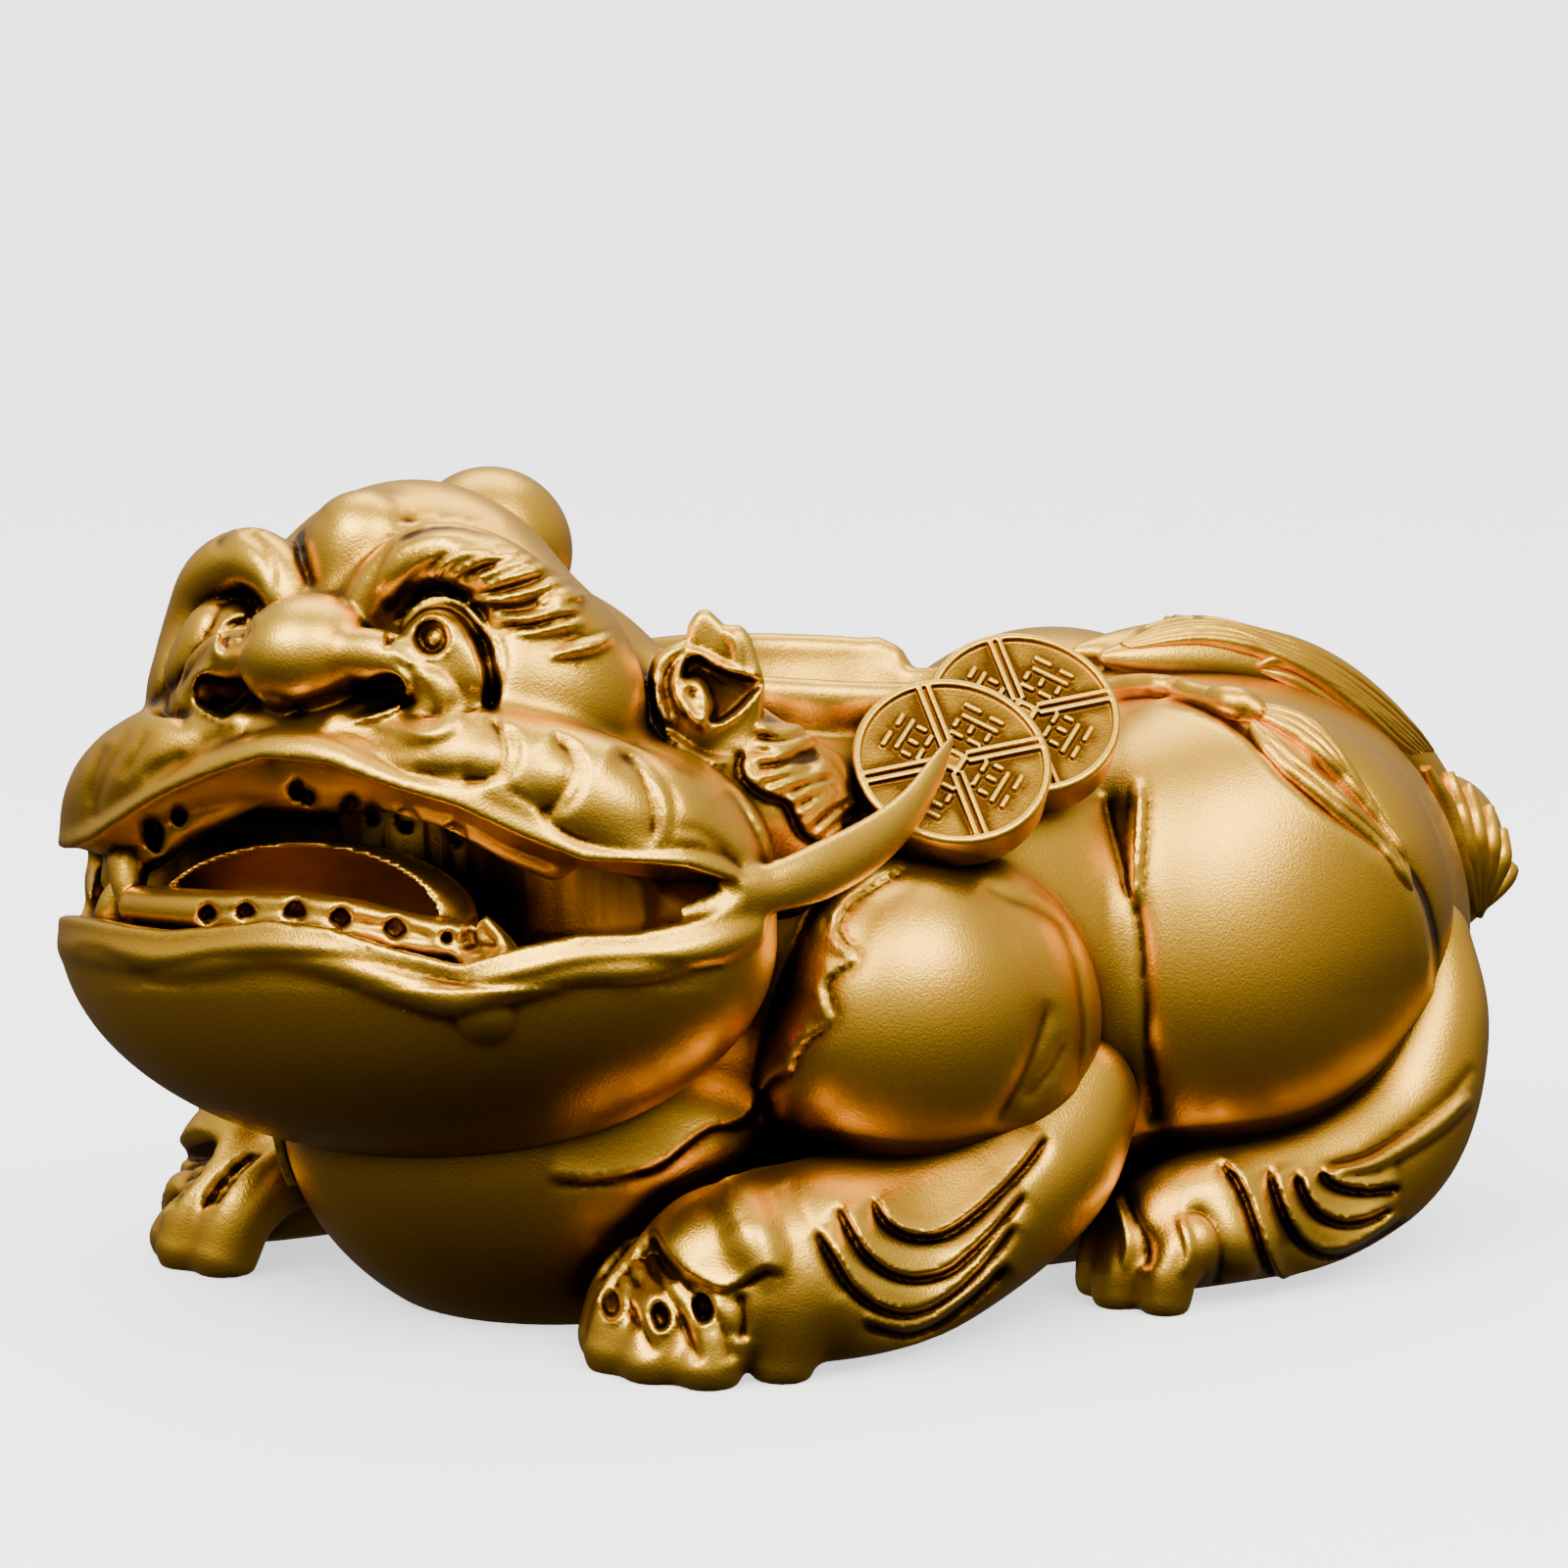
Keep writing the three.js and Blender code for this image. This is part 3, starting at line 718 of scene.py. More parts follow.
def skull(clay):
    """Jaw, brain case, the two masses over the eyes, neck and the stub of a horn."""
    clay.add(melted([egg((-1, -8, -14), (62, 35, 34)), egg((0, -8, -2), (60, 33.5, 24))], 6))
    over_eyes = [egg((side * 24, -12, 20), (18.5, 17.5, 19.5)) for side in SIDES]
    clay.add(melted([egg((0, -6, 20), (31, 23, 34)), egg((0, 14, 8), (36, 24, 32))] + over_eyes, 8), 3)
    clay.add(egg((0, 18, 0), (58, 22, 30)), 3)
    clay.add(egg((0, 14, 43), (12.5, 13.5, 13)), 1)


def brows(clay):
    """A round bump on the forehead, the bridge below it and a thick brow at each side."""
    clay.add(egg((0, -17, 43.3), (9.6, 9.3, 9.3)), 2)
    clay.add(rope([[0, -20, 39, 6.5], [0, -23, 34.5, 5.4]]), 2.5)
    brow = [[5, -27.5, 31, 2.5], [9, -25.5, 38.5, 4], [16.5, -23, 42.3, 5], [26, -20, 39, 5.7],
            [33, -16, 31, 5.2], [37.5, -11, 21, 3]]
    for side in SIDES:
        clay.add(rope(mirrored(brow, side)), 3.5)


def nose(clay):
    """The tip, and at each side a wing with a roll behind it and a nostril cut into it."""
    clay.add(egg((0, -30.8, 28.3), (10.4, 11.2, 9.2)), 1.2)
    wing = [[9, -33, 28.5, 4], [15, -32.5, 28, 3.8], [20.5, -30.5, 25.3, 3.6], [22, -31, 20.5, 3],
            [17, -33.5, 17.6, 2.3], [9, -36.5, 18, 2.2]]
    roll = [[20, -28, 27.5, 2.4], [25.2, -27.5, 23.5, 2.8], [26, -28.5, 18.5, 2.8], [23, -31, 15.5, 2.6],
            [20, -33, 16.5, 2]]
    for side in SIDES:
        clay.add(rope(mirrored(wing, side)), 1.5)
        clay.add(rope(mirrored(roll, side)), 0.8)
        clay.cut(egg((side * 15.2, -38.5, 22.6), (5.2, 10, 2.9), (0, side * -24, 0)), 0.8)


def cheeks(clay):
    """Soft rolls side by side along the upper lip; a roll is its turn, height and size."""
    rolls = ((26, 13, 8), (36, 11, 9), (46, 8.8, 9), (56, 6.3, 9), (66, 3.5, 9), (75, 0.5, 8.5))
    for side in SIDES:
        forms = []
        for turn, level, size in rolls:
            x, y, z = on_mouth(side * turn, level, -9)
            facing = math.degrees(math.atan2(x / MOUTH_SIDE ** 2, (MOUTH_BACK - y) / MOUTH_FRONT ** 2))
            forms.append(egg((x, y, z), (9, 8.6, size), (0, 0, facing)))
        clay.add(melted(forms, 7), 3)


def gape():
    """The space between the lips, deep in the middle and shallow at the corners."""
    def depth(x, y, z):
        turn = np.degrees(np.arctan2(x / MOUTH_SIDE, (MOUTH_BACK - y) / MOUTH_FRONT))
        radius = np.sqrt((x / MOUTH_SIDE) ** 2 + ((y - MOUTH_BACK) / MOUTH_FRONT) ** 2)
        crest = np.interp(turn, MOUTH_TURNS, UPPER_LIP).astype(np.float32) - 1.2
        edge = np.interp(turn, MOUTH_TURNS, UPPER_EDGE).astype(np.float32)
        lip = np.interp(turn, MOUTH_TURNS, LOWER_LIP).astype(np.float32)
        share = np.clip((radius - 0.84) / 0.14, 0, 1).astype(np.float32)
        roof = edge + share * (crest - edge) + 30 * np.clip(0.8 - radius, 0, 0.2)
        floor = lip + np.clip((radius - 0.92) * 50, -3, 3)
        inner = np.interp(np.abs(turn), THROAT_TURNS, THROAT_SHARES).astype(np.float32)
        walls = np.maximum(z - roof, floor - z)
        ends = np.maximum((inner - radius) * MOUTH_FRONT, (np.abs(turn) - 86) * 0.9)
        return -soft_min(-walls, -ends, 3)

    return Form((-66, -46, -18), (66, -4, 18), depth)


def teeth(clay):
    """Gums, stumps along the upper one, a fang at the left and crooked teeth at the right."""
    turns = range(-40, 35, 10)
    levels = np.interp(turns, GUM_TURNS, GUM_LEVELS)
    clay.add(rope([on_mouth(turn, float(level), -5.8) + [3.3] for turn, level in zip(turns, levels)]), 0.5)
    clay.add(rope(along_mouth(UPPER_EDGE, -9, 3.2, 0.4, -50, 48, 7)), 0.6)
    for turn in (-38, -30, -4, 12, 30):
        level = float(np.interp(turn, MOUTH_TURNS, UPPER_EDGE))
        stump = [on_mouth(turn, level + 0.4, -8) + [1.5], on_mouth(turn, level - 2.4, -8.3) + [0.5]]
        clay.add(rope(stump), 0.3)
    fangs = [[[31, -31, -21, 7], [31, -31.5, -15, 4.2], [31, -32, -9, 0.3]],
             [[-39, -27, -3, 3.4], [-38, -28.5, -7, 2.4], [-37.5, -29, -11, 0.8]],
             [[-45, -23.5, -15, 3.8], [-44, -25, -10, 2.6], [-42.5, -26, -6, 0.8]],
             [[-34, -31, -14, 2.4], [-33, -31.5, -10, 1.2]],
             [[-44, -22, -1, 3], [-46, -22.5, -6, 2]]]
    for fang in fangs:
        clay.add(rope(fang), 0.3)


def mouth(clay):
    """Lips, the hollow between them, palate, tongue and teeth."""
    clay.add(rope(along_mouth(UPPER_LIP, -2, 3.6, -1.2), steps=4), 1.5)
    clay.add(rope(along_mouth(LOWER_LIP, -0.6, 3.1, -1.5), steps=4), 1)
    clay.cut(gape(), 1)
    palate = egg((0, -27, 14), (34, 13, 9))
    clay.add(palate, 3)
    tongue = carved(egg((-3, -28, -10.5), (28, 14, 11.6)), egg((-3, -37, -10.5), (27, 18.5, 11.6)))
    clay.add(tongue, 0.4)
    teeth(clay)


def eyes(clay):
    """A socket and a bulging eye with its lower lid at each side."""
    for side in SIDES:
        clay.cut(egg((side * 21.8, -31.5, 28.5), (11.8, 9.0, 9.7), (0, side * 15, 0)), 1.2)
        ball = egg((side * 20.3, -24.8, 29.7), (8.0, 6.5, 7.4))
        lid = egg((side * 23, -24.8, 25), (8.6, 6.5, 7))
        clay.add(melted([ball, lid], 3), 0.5)


# The near ear's outline over the photograph
EAR = ((663, 690), (668, 672), (683, 661), (698, 652), (703, 636), (712, 624), (722, 622), (733, 631),
       (741, 638), (755, 638), (766, 650), (773, 672), (780, 697), (776, 722), (770, 746), (758, 768),
       (744, 779), (722, 778), (698, 768), (678, 752), (668, 725))


def ears(clay):
    """A slab with the ear's outline, its root on the skull; the curls are drawn on it."""
    place = head_place()
    for side in SIDES:
        clay.add(cutout(EAR, place, (47, 12, 19), 17, 4.2, 1.5, side), 0.8)
        clay.add(egg((side * 43, 9, 18), (6, 9, 9)), 3)


def whiskers(clay):
    """A flat whisker sweeping back from each corner of the mouth."""
    knots = [[55, -17, -9, 1.0], [59.5, -10, -7.6, 2.6], [62.3, -3, -6.2, 3.6], [64.5, 5, -4.5, 4.2],
             [66, 14, -2, 4.0], [67, 22, 1.2, 3.4], [67.3, 28, 4.5, 2.8], [67.3, 34, 9, 2.0],
             [66.8, 40, 13.5, 0.5]]
    for side in SIDES:
        clay.add(rope(mirrored(knots, side), flat=0.5, face=(side, 0.1, 0.15)), 2.5)


def cheek_hair(clay):
    """A mass of hair behind the cheek, under the ear."""
    for side in SIDES:
        clay.add(melted([egg((side * 44, 14, 5), (10, 13, 13)), egg((side * 50, 22, 5), (6, 14, 9))], 6), 2)


def face_drawing():
    """All that is carved in the face, at the near side and beyond the nose."""
    drawing = Drawing(40, 480, 1000, 1010)
    brow_and_eye(drawing)
    far_side(drawing)
    muzzle(drawing)
    gums(drawing)
    cheek_and_ear(drawing)
    return drawing


# Lines drawn over the photograph, in its pixels: across, down and, for a strand, its half width

BROW_SLOT = ((408, 555), (422, 547), (440, 541), (460, 538), (482, 540), (505, 546))
BROW_FRONT_HAIRS = (((388, 607, 4), (393, 587, 5), (403, 569, 5), (418, 556, 5), (440, 548, 4.5),
                     (464, 546, 4), (484, 549, 2)),
                    ((391, 616, 4), (399, 592, 5), (412, 573, 5), (430, 560, 5), (450, 554, 4.5),
                     (472, 554, 4), (500, 548, 2)),
                    ((396, 622, 4), (405, 599, 5), (418, 580, 5), (436, 568, 5), (456, 561, 4.5),
                     (478, 560, 4), (514, 553, 2)))
BROW_HAIRS = (((442, 594, 1), (447, 584, 4), (456, 574, 5.5), (470, 568, 5.5), (488, 564, 4),
               (508, 560, 2)),
              ((458, 593, 1), (466, 584, 4), (479, 577, 5.5), (495, 571, 5.5), (512, 567, 5),
               (534, 562, 2)),
              ((478, 592, 1), (492, 589, 4), (508, 582, 5.5), (524, 575, 5.5), (546, 570, 3)),
              ((490, 600, 1), (503, 596, 4.5), (522, 589, 5.5), (540, 583, 5.5), (560, 578, 3)),
              ((474, 613, 1), (492, 612, 4), (515, 610, 5.5), (538, 604, 5.5), (556, 598, 5),
               (578, 592, 3)),
              ((549, 619, 1), (558, 613, 4), (568, 607, 5), (588, 600, 3)),
              ((553, 627, 1), (566, 619, 4.5), (578, 611, 5.5), (600, 606, 3)),
              ((507, 631, 1), (524, 632, 4.5), (545, 630, 5.5), (563, 625, 5.5), (592, 620, 3)),
              ((520, 646, 1), (545, 645, 4), (568, 640, 5), (598, 634, 3)),
              ((560, 671, 1), (580, 664, 6), (598, 660, 8), (614, 655, 6), (626, 648, 3)))
BROW_SHADES = (((487, 606), (510, 603), (535, 598), (558, 592)),
               ((500, 620), (530, 620), (552, 613)),
               ((505, 640), (535, 640), (566, 634)),
               ((470, 589), (488, 580), (508, 574)))
EYE_SOCKET = ((428, 610), (440, 596), (462, 596), (490, 612), (500, 640), (500, 668), (486, 640),
              (466, 622), (445, 614))
BUMP_CREASE = ((382, 500), (396, 505), (408, 516), (416, 531), (417, 545), (405, 553), (397, 564),
               (388, 582), (380, 602), (372, 622))
BRIDGE_CREASE = ((330, 512), (312, 526), (305, 548), (308, 575), (318, 602))
LID_GROOVE = ((394, 661, 3), (404, 645, 5), (416, 631, 6), (430, 620, 6.5), (445, 617, 7), (460, 621, 7),
              (474, 633, 7.5), (488, 652, 8), (498, 676, 8), (502, 702, 7), (501, 726, 5))
IRIS_RING = ((460, 651), (455, 664), (441, 670.5), (427, 665), (421, 651), (427, 637), (440, 631),
             (454, 637), (460, 651))
IRIS = ((422, 650), (427, 638), (440, 632), (453, 637), (459, 650), (454, 663), (441, 669), (428, 664))
PUPIL = ((435, 657), (439, 645), (447, 643), (448, 653), (442, 661))
EYE_CORNERS = (((398, 661, 2), (408, 646, 3), (420, 634, 3)),
               ((400, 664, 2), (414, 674, 3), (430, 680, 3)))
LID_FOLD = ((462, 648), (474, 664), (482, 684), (484, 704))


def brow_and_eye(drawing):
    """Hairs of the near brow, the creases beside them, and the near eye with its lid."""
    drawing.crease(BROW_SLOT, depth=0.8, left=10, right=3)
    drawing.strands(0.9, *BROW_FRONT_HAIRS)
    drawing.strands(1.3, *BROW_HAIRS, ends=0.1)
    for shade in BROW_SHADES:
        drawing.crease(shade, depth=0.8, left=4, right=5, ends=0.3)
    drawing.patch(EYE_SOCKET, height=-1.0, soft=12)
    drawing.crease(BUMP_CREASE, depth=0.5, left=6, right=15, ends=0.2)
    drawing.crease(BRIDGE_CREASE, depth=1.0, left=14, right=5, ends=0.1)
    drawing.strands(-2.6, LID_GROOVE, ends=0.04)
    drawing.patch(IRIS, height=-1.5, soft=4)
    drawing.strands(0.9, [(u, v, 3.2) for u, v in IRIS_RING], ends=0)
    drawing.patch(PUPIL, height=1.2, soft=4)
    drawing.strands(0.7, *EYE_CORNERS)
    drawing.crease(LID_FOLD, depth=-0.5, left=8, right=6)


FAR_BROW_CREASE = ((245, 541), (262, 550), (272, 562), (278, 580), (280, 602))
FAR_BROW_SHADE = ((234, 538), (226, 552), (220, 562))
FAR_LID_CREASE = ((268, 617), (242, 611), (225, 622), (214, 645), (207, 666), (194, 686), (174, 703),
                  (150, 724))
FAR_IRIS = ((227, 663), (225, 650), (233, 638), (245, 633), (257, 640), (252, 652), (240, 662))
FAR_LID = ((221, 674, 3), (219, 656, 4), (226, 639, 4), (240, 629, 4), (256, 627, 3.5), (266, 631, 2))
FAR_PUPIL = ((233, 655), (240, 648), (247, 652), (240, 660))
FAR_NOSTRIL = ((230, 736, 2), (208, 727, 4), (196, 714, 4), (195, 699, 4), (203, 686, 4), (216, 681, 2.5))
FAR_FOLDS = (((183, 720), (186, 732), (189, 744)),
             ((134, 744), (116, 775), (104, 802), (94, 836)),
             ((152, 744), (139, 770), (124, 794)),
             ((110, 760), (97, 790), (90, 822)),
             ((200, 768), (180, 774), (160, 784), (146, 794)))


def far_side(drawing):
    """The brow, eye and nostril beyond the nose."""
    drawing.crease(FAR_BROW_CREASE, depth=0.9, left=5, right=7, ends=0.2)
    drawing.crease(FAR_BROW_SHADE, depth=0.9, left=5, right=6, ends=0.3)
    drawing.crease(FAR_LID_CREASE, depth=1.3, left=6, right=9)
    drawing.patch(FAR_IRIS, height=-1.2, soft=4)
    drawing.strands(0.9, FAR_LID)
    drawing.patch(FAR_PUPIL, height=1.2, soft=4)
    drawing.strands(1.2, FAR_NOSTRIL)
    for line in FAR_FOLDS:
        drawing.crease(line, depth=0.8, left=5, right=6, ends=0.3)


NOSE_FOOT = ((262, 701), (280, 710), (302, 718), (330, 711), (356, 704))
NOSE_DENT = ((304, 716), (304, 731))
WING_CURL = ((400, 682, 2), (412, 690, 3.5), (416, 703, 3.5), (411, 717, 3.5), (396, 726, 3.5),
             (376, 732, 3), (356, 737, 2))
WING_ROLL = ((420, 684, 4), (438, 692, 10), (454, 706, 13), (462, 724, 13), (456, 740, 11),
             (436, 749, 8), (410, 744, 4))
MUZZLE_FOLDS = (((342, 741), (360, 748), (380, 757), (400, 764), (424, 770)),
                ((352, 736), (374, 743), (396, 751), (420, 762), (440, 767)),
                ((420, 783), (440, 787), (462, 788), (484, 786)),
                ((330, 748), (350, 757), (372, 768), (394, 779), (420, 790), (460, 797), (495, 797)),
                ((284, 741), (262, 747), (240, 754), (214, 765), (196, 770)),
                ((254, 739), (230, 747), (206, 756), (190, 764)))
LIP_BAND = ((75, 966), (100, 969), (122, 979), (150, 988), (182, 984), (212, 977), (260, 975),
            (300, 975), (340, 976), (380, 982), (420, 992), (460, 1001), (500, 1003), (540, 997),
            (590, 985), (650, 980), (700, 984), (740, 985))


def muzzle(drawing):
    """The nose's foot and near wing, the folds of the lip under it and the band of the lower lip."""
    drawing.crease(NOSE_FOOT, depth=0.8, left=8, right=3)
    drawing.crease(NOSE_DENT, depth=0.8, left=4, right=4)
    drawing.strands(1.3, WING_CURL)
    drawing.strands(0.8, WING_ROLL, ends=0.15)
    for line in MUZZLE_FOLDS:
        drawing.crease(line, depth=0.7, left=4, right=4, ends=0.3)
    drawing.crease(LIP_BAND, depth=0.9, left=4, right=14, ends=0.1)


LOWER_SOCKETS = ((212, 933, 9), (251, 931, 9), (301, 931, 11), (347, 937, 10), (403, 948, 10),
                 (456, 957, 6))
GUM_GROOVE = ((200, 932), (250, 930), (300, 930), (350, 938), (400, 947), (452, 958))
GUM_SHADE = ((350, 940), (400, 948), (446, 959))
FANG_HOLLOW = ((487, 938), (464, 966), (509, 966))
UPPER_SOCKETS = ((183, 833, 7), (303, 806, 8), (315, 814, 6), (358, 822, 8), (380, 830, 6),
                 (415, 836, 9), (465, 850, 9))
FAR_SOCKET = ((148, 838), (160, 836), (166, 852), (162, 868), (152, 862))


def gums(drawing):
    """Sockets of lost teeth along both gums, joined by a groove, and the hollow in the fang."""
    for u, v, r in LOWER_SOCKETS:
        drawing.patch([(u - r, v), (u, v - r), (u + r, v), (u, v + r)], height=-3.0, soft=4)
    drawing.crease(GUM_GROOVE, depth=0.9, left=5, right=5)
    drawing.crease(GUM_SHADE, depth=1.0, left=6, right=6)
    drawing.patch(FANG_HOLLOW, height=-1.6, soft=5)
    for u, v, r in UPPER_SOCKETS:
        drawing.patch([(u - r, v), (u, v - r - 3), (u + r, v), (u, v + r + 2)], height=-2.4, soft=5)
    drawing.patch(FAR_SOCKET, height=-2.4, soft=6)


FIRST_SCALE = ((498, 728), (508, 742), (514, 760), (514, 776), (508, 789), (494, 797), (470, 797))
FIRST_SCALE_LINE = ((519, 740), (526, 757), (526, 774), (520, 788), (508, 800))
SECOND_SCALE = ((566, 748), (578, 764), (586, 782), (582, 800), (572, 815), (560, 829), (552, 834))
SECOND_SCALE_LINE = ((578, 752), (590, 768), (597, 788), (592, 806), (582, 820), (568, 833))
THIRD_SCALE = ((628, 764), (646, 778), (658, 795), (666, 815), (669, 838), (666, 864))
THIRD_SCALE_LINE = ((640, 764), (662, 779), (676, 796), (686, 816), (687, 838), (682, 864))
CHEEK_FOOT = ((505, 804), (520, 808), (540, 819), (556, 832), (568, 844), (584, 855), (606, 863),
              (634, 868), (666, 869), (700, 867), (724, 869), (742, 877), (756, 888), (766, 899))
CHEEK_FOOT_LINE = ((690, 846), (712, 850), (732, 862), (748, 878), (762, 896))
CHEEK_BACK = ((742, 799), (756, 815), (770, 838), (782, 862), (792, 888))
EAR_SHELL = ((702, 658, 4), (684, 666, 8), (672, 680, 9), (669, 700, 9), (674, 722, 8), (682, 742, 5))
EAR_ROLL = ((700, 668, 3), (692, 682, 5), (689, 698, 5.5), (694, 714, 5.5), (706, 730, 5), (720, 744, 3))
EAR_HOLLOW = ((697, 690), (700, 676), (712, 671), (726, 679), (742, 687), (764, 692), (776, 698),
              (766, 712), (750, 727), (734, 737), (722, 734), (716, 716), (706, 706))
EAR_BUD = ((697, 704, 4), (703, 697, 6), (712, 700, 7), (719, 712, 7), (722, 726, 6), (717, 737, 4))
EAR_EDGES = (((700, 664, 2), (716, 667, 3), (732, 677, 3), (750, 685, 3), (772, 691, 2)),
             ((724, 741, 2), (740, 737, 3), (756, 726, 3), (768, 711, 3), (778, 699, 2)),
             ((675, 742, 2), (692, 758, 3), (712, 771, 3), (732, 778, 3), (750, 776, 2)))
EAR_PEAK = ((738, 642, 3), (750, 655, 5), (754, 672, 4), (756, 685, 2))
EAR_FOLD = ((700, 654), (712, 662), (730, 668), (745, 677))
RUFFLE_EDGE = ((762, 768), (757, 784), (766, 800), (785, 812), (803, 818), (812, 835), (820, 850),
               (838, 862), (846, 878))
TUFTS = (((772, 742, 5), (800, 746, 9), (828, 738, 6)),
         ((770, 758, 4), (800, 762, 6), (834, 750, 4)),
         ((770, 774, 3), (796, 771, 4.5), (826, 762, 3)))
RUFFLE_PLEATS = (((772, 794, 4), (800, 788, 6), (832, 780, 5), (848, 784, 3)),
                 ((786, 806, 4), (815, 796, 6), (842, 787, 5), (854, 792, 3)),
                 ((806, 818, 4), (830, 806, 6), (858, 796, 4)),
                 ((816, 832, 4), (840, 815, 5.5), (862, 803, 4)),
                 ((822, 842, 4), (845, 822, 5), (868, 811, 3.5)),
                 ((834, 851, 4), (855, 832, 5), (876, 817, 3.5)),
                 ((842, 858, 4), (862, 842, 5), (884, 828, 3.5)),
                 ((852, 866, 4), (872, 850, 5), (896, 836, 3.5)),
                 ((860, 873, 3), (884, 857, 4), (912, 842, 3)))
RUFFLE_HOLLOW = ((812, 768), (828, 764), (836, 776), (826, 788), (814, 782))


def cheek_and_ear(drawing):
    """Scales of the cheek, curls of the ear, and the pleated ruffle behind the cheek."""
    drawing.crease(FIRST_SCALE, depth=1.4, left=4, right=16)
    drawing.crease(FIRST_SCALE_LINE, depth=0.9, left=3, right=4)
    drawing.crease(SECOND_SCALE, depth=1.4, left=4, right=18)
    drawing.crease(SECOND_SCALE_LINE, depth=0.9, left=3, right=4)
    drawing.crease(THIRD_SCALE, depth=1.5, left=4, right=22)
    drawing.crease(THIRD_SCALE_LINE, depth=0.8, left=8, right=4)
    drawing.crease(CHEEK_FOOT, depth=1.0, left=9, right=4)
    drawing.crease(CHEEK_FOOT_LINE, depth=0.6, left=10, right=3)
    drawing.ledge(CHEEK_BACK, rise=0.9, drop=0.9, left=5, right=16)
    drawing.patch(EAR_HOLLOW, height=-2.6, soft=7)
    drawing.strands(1.4, EAR_SHELL, EAR_ROLL, ends=0.1)
    drawing.strands(2.8, EAR_BUD)
    drawing.strands(1.2, *EAR_EDGES, ends=0.08)
    drawing.strands(0.9, EAR_PEAK)
    drawing.crease(EAR_FOLD, depth=0.6, left=3, right=8)
    drawing.ledge(RUFFLE_EDGE, rise=1.0, drop=1.6, left=6, right=7, ends=0.05)
    drawing.ledge(RUFFLE_EDGE[::-1], rise=-0.5, drop=-0.5, left=5, right=5, ends=0.05)
    drawing.strands(1.4, *TUFTS, ends=0.1)
    drawing.strands(1.2, *RUFFLE_PLEATS, ends=0.05)
    drawing.patch(RUFFLE_HOLLOW, height=-1.2, soft=14)


def head():
    """The whole head as clay, carved as the photograph shows it."""
    clay = Clay((-72, -50, -52), (72, 48, 62), HEAD_GRAIN)
    skull(clay)
    cheeks(clay)
    mouth(clay)
    brows(clay)
    eyes(clay)
    nose(clay)
    ears(clay)
    cheek_hair(clay)
    face_drawing().press(clay, head_place(), twin=0.5)
    whiskers(clay)
    return clay


# Body

def trunk(clay):
    """Belly, rump, back, chest and the base under the chin."""
    clay.add(melted([egg((0, 20, 43), (50, 88, 50)), egg((0, 60, 50), (40, 47, 42)),
                     egg((0, -12, 56), (47, 46, 42)), egg((0, -48, 58), (46, 38, 36))], 10))
    clay.add(egg((-4, -57, 30), (43.5, 44.5, 37.5)), 4)


# The mantle's scalloped hem on the right side, forward and down from the bowl, as (y, z)
MANTLE = [(-24, 72.5), (-36, 67), (-38.5, 64.5), (-39, 60), (-43, 56.5), (-43, 50.5), (-47, 47.5), (-52, 36),
          (-59, 32), (-68, 28.5), (-76, 26.7), (-84, 27.5), (-92, 30.5), (-104, 40)]
MANTLE_LIFT = 1.7


def mantle(clay):
    """The right side's mantle, raised over the shoulder; the left one's hem is drawn."""
    hem = [(y - 26, z - 10) for y, z in MANTLE]
    border = np.vstack([scalloped(hem, 7.5, 1.6), [(-150, 60), (-150, 110), (-24, 110)]])
    clay.swell(sheet(border, 0, -90, -20), MANTLE_LIFT, edge=0.9, gutter=0.5)


def haunches(clay):
    """A big round thigh and a lower one at each side, the right a little higher behind."""
    clay.add(melted([egg((27, 46, 54), (33, 41, 37)), egg((27, 36, 43), (32, 29, 28))], 12), 1.5)
    clay.add(melted([egg((-27, 49, 58), (33, 38, 38)), egg((-27, 36, 42), (32, 28, 27))], 12), 1.5)


def shoulders(clay):
    """The left shoulder with a flatter mass on it, and the right one, set forward with its leg."""
    clay.add(egg((41, -18, 45), (22, 29, 28)), 1.5)
    clay.add(egg((43, -23.5, 47), (22.3, 25, 25.5)), 0.6)
    clay.add(egg((-40, -44, 46), (20.5, 28.5, 27.5)), 1.5)


# How far the bends of a limb are smoothed, before its toes are added
LIMB_SOFTNESS = 1.8

# Where each toe stands, and on the front paw its radius
FRONT_TOES = [(37, -64, 5.4), (44.5, -67, 5.4), (52, -65, 5.4), (59, -60, 5.2)]


def front_leg():
    """Forearm, folds and paw of the left side."""
    clay = Clay((20, -86, -2), (80, 24, 64), LIMB_GRAIN)
    forearm = [[46, 4, 32, 12], [49, -6, 24, 14.5], [53, -28, 16, 15.5], [54, -45, 14, 16],
               [50, -58, 13.5, 13.5]]
    thumb = [[60, -50, 17, 6.5], [62, -54, 11, 5.5], [61.5, -55, 3, 5]]
    wrist = [[47, -50, 24, 3], [54, -57, 23.5, 4], [60, -59, 20, 4]]
    clay.add(rope(forearm))
    clay.soften(LIMB_SOFTNESS)
    for x, y, r in FRONT_TOES:
        toe = [[x * 0.95 + 1, y + 14, 16, r + 1], [x, y + 4, 14.5, r + 0.6], [x, y - 3, 9.5, r + 0.4],
               [x, y - 6, 3, r]]
        clay.add(rope(toe), 3)
    clay.add(rope(thumb), 3)
    clay.add(rope(wrist), 3)
    paw_drawing().press(clay)
    clay.stand()
    return clay


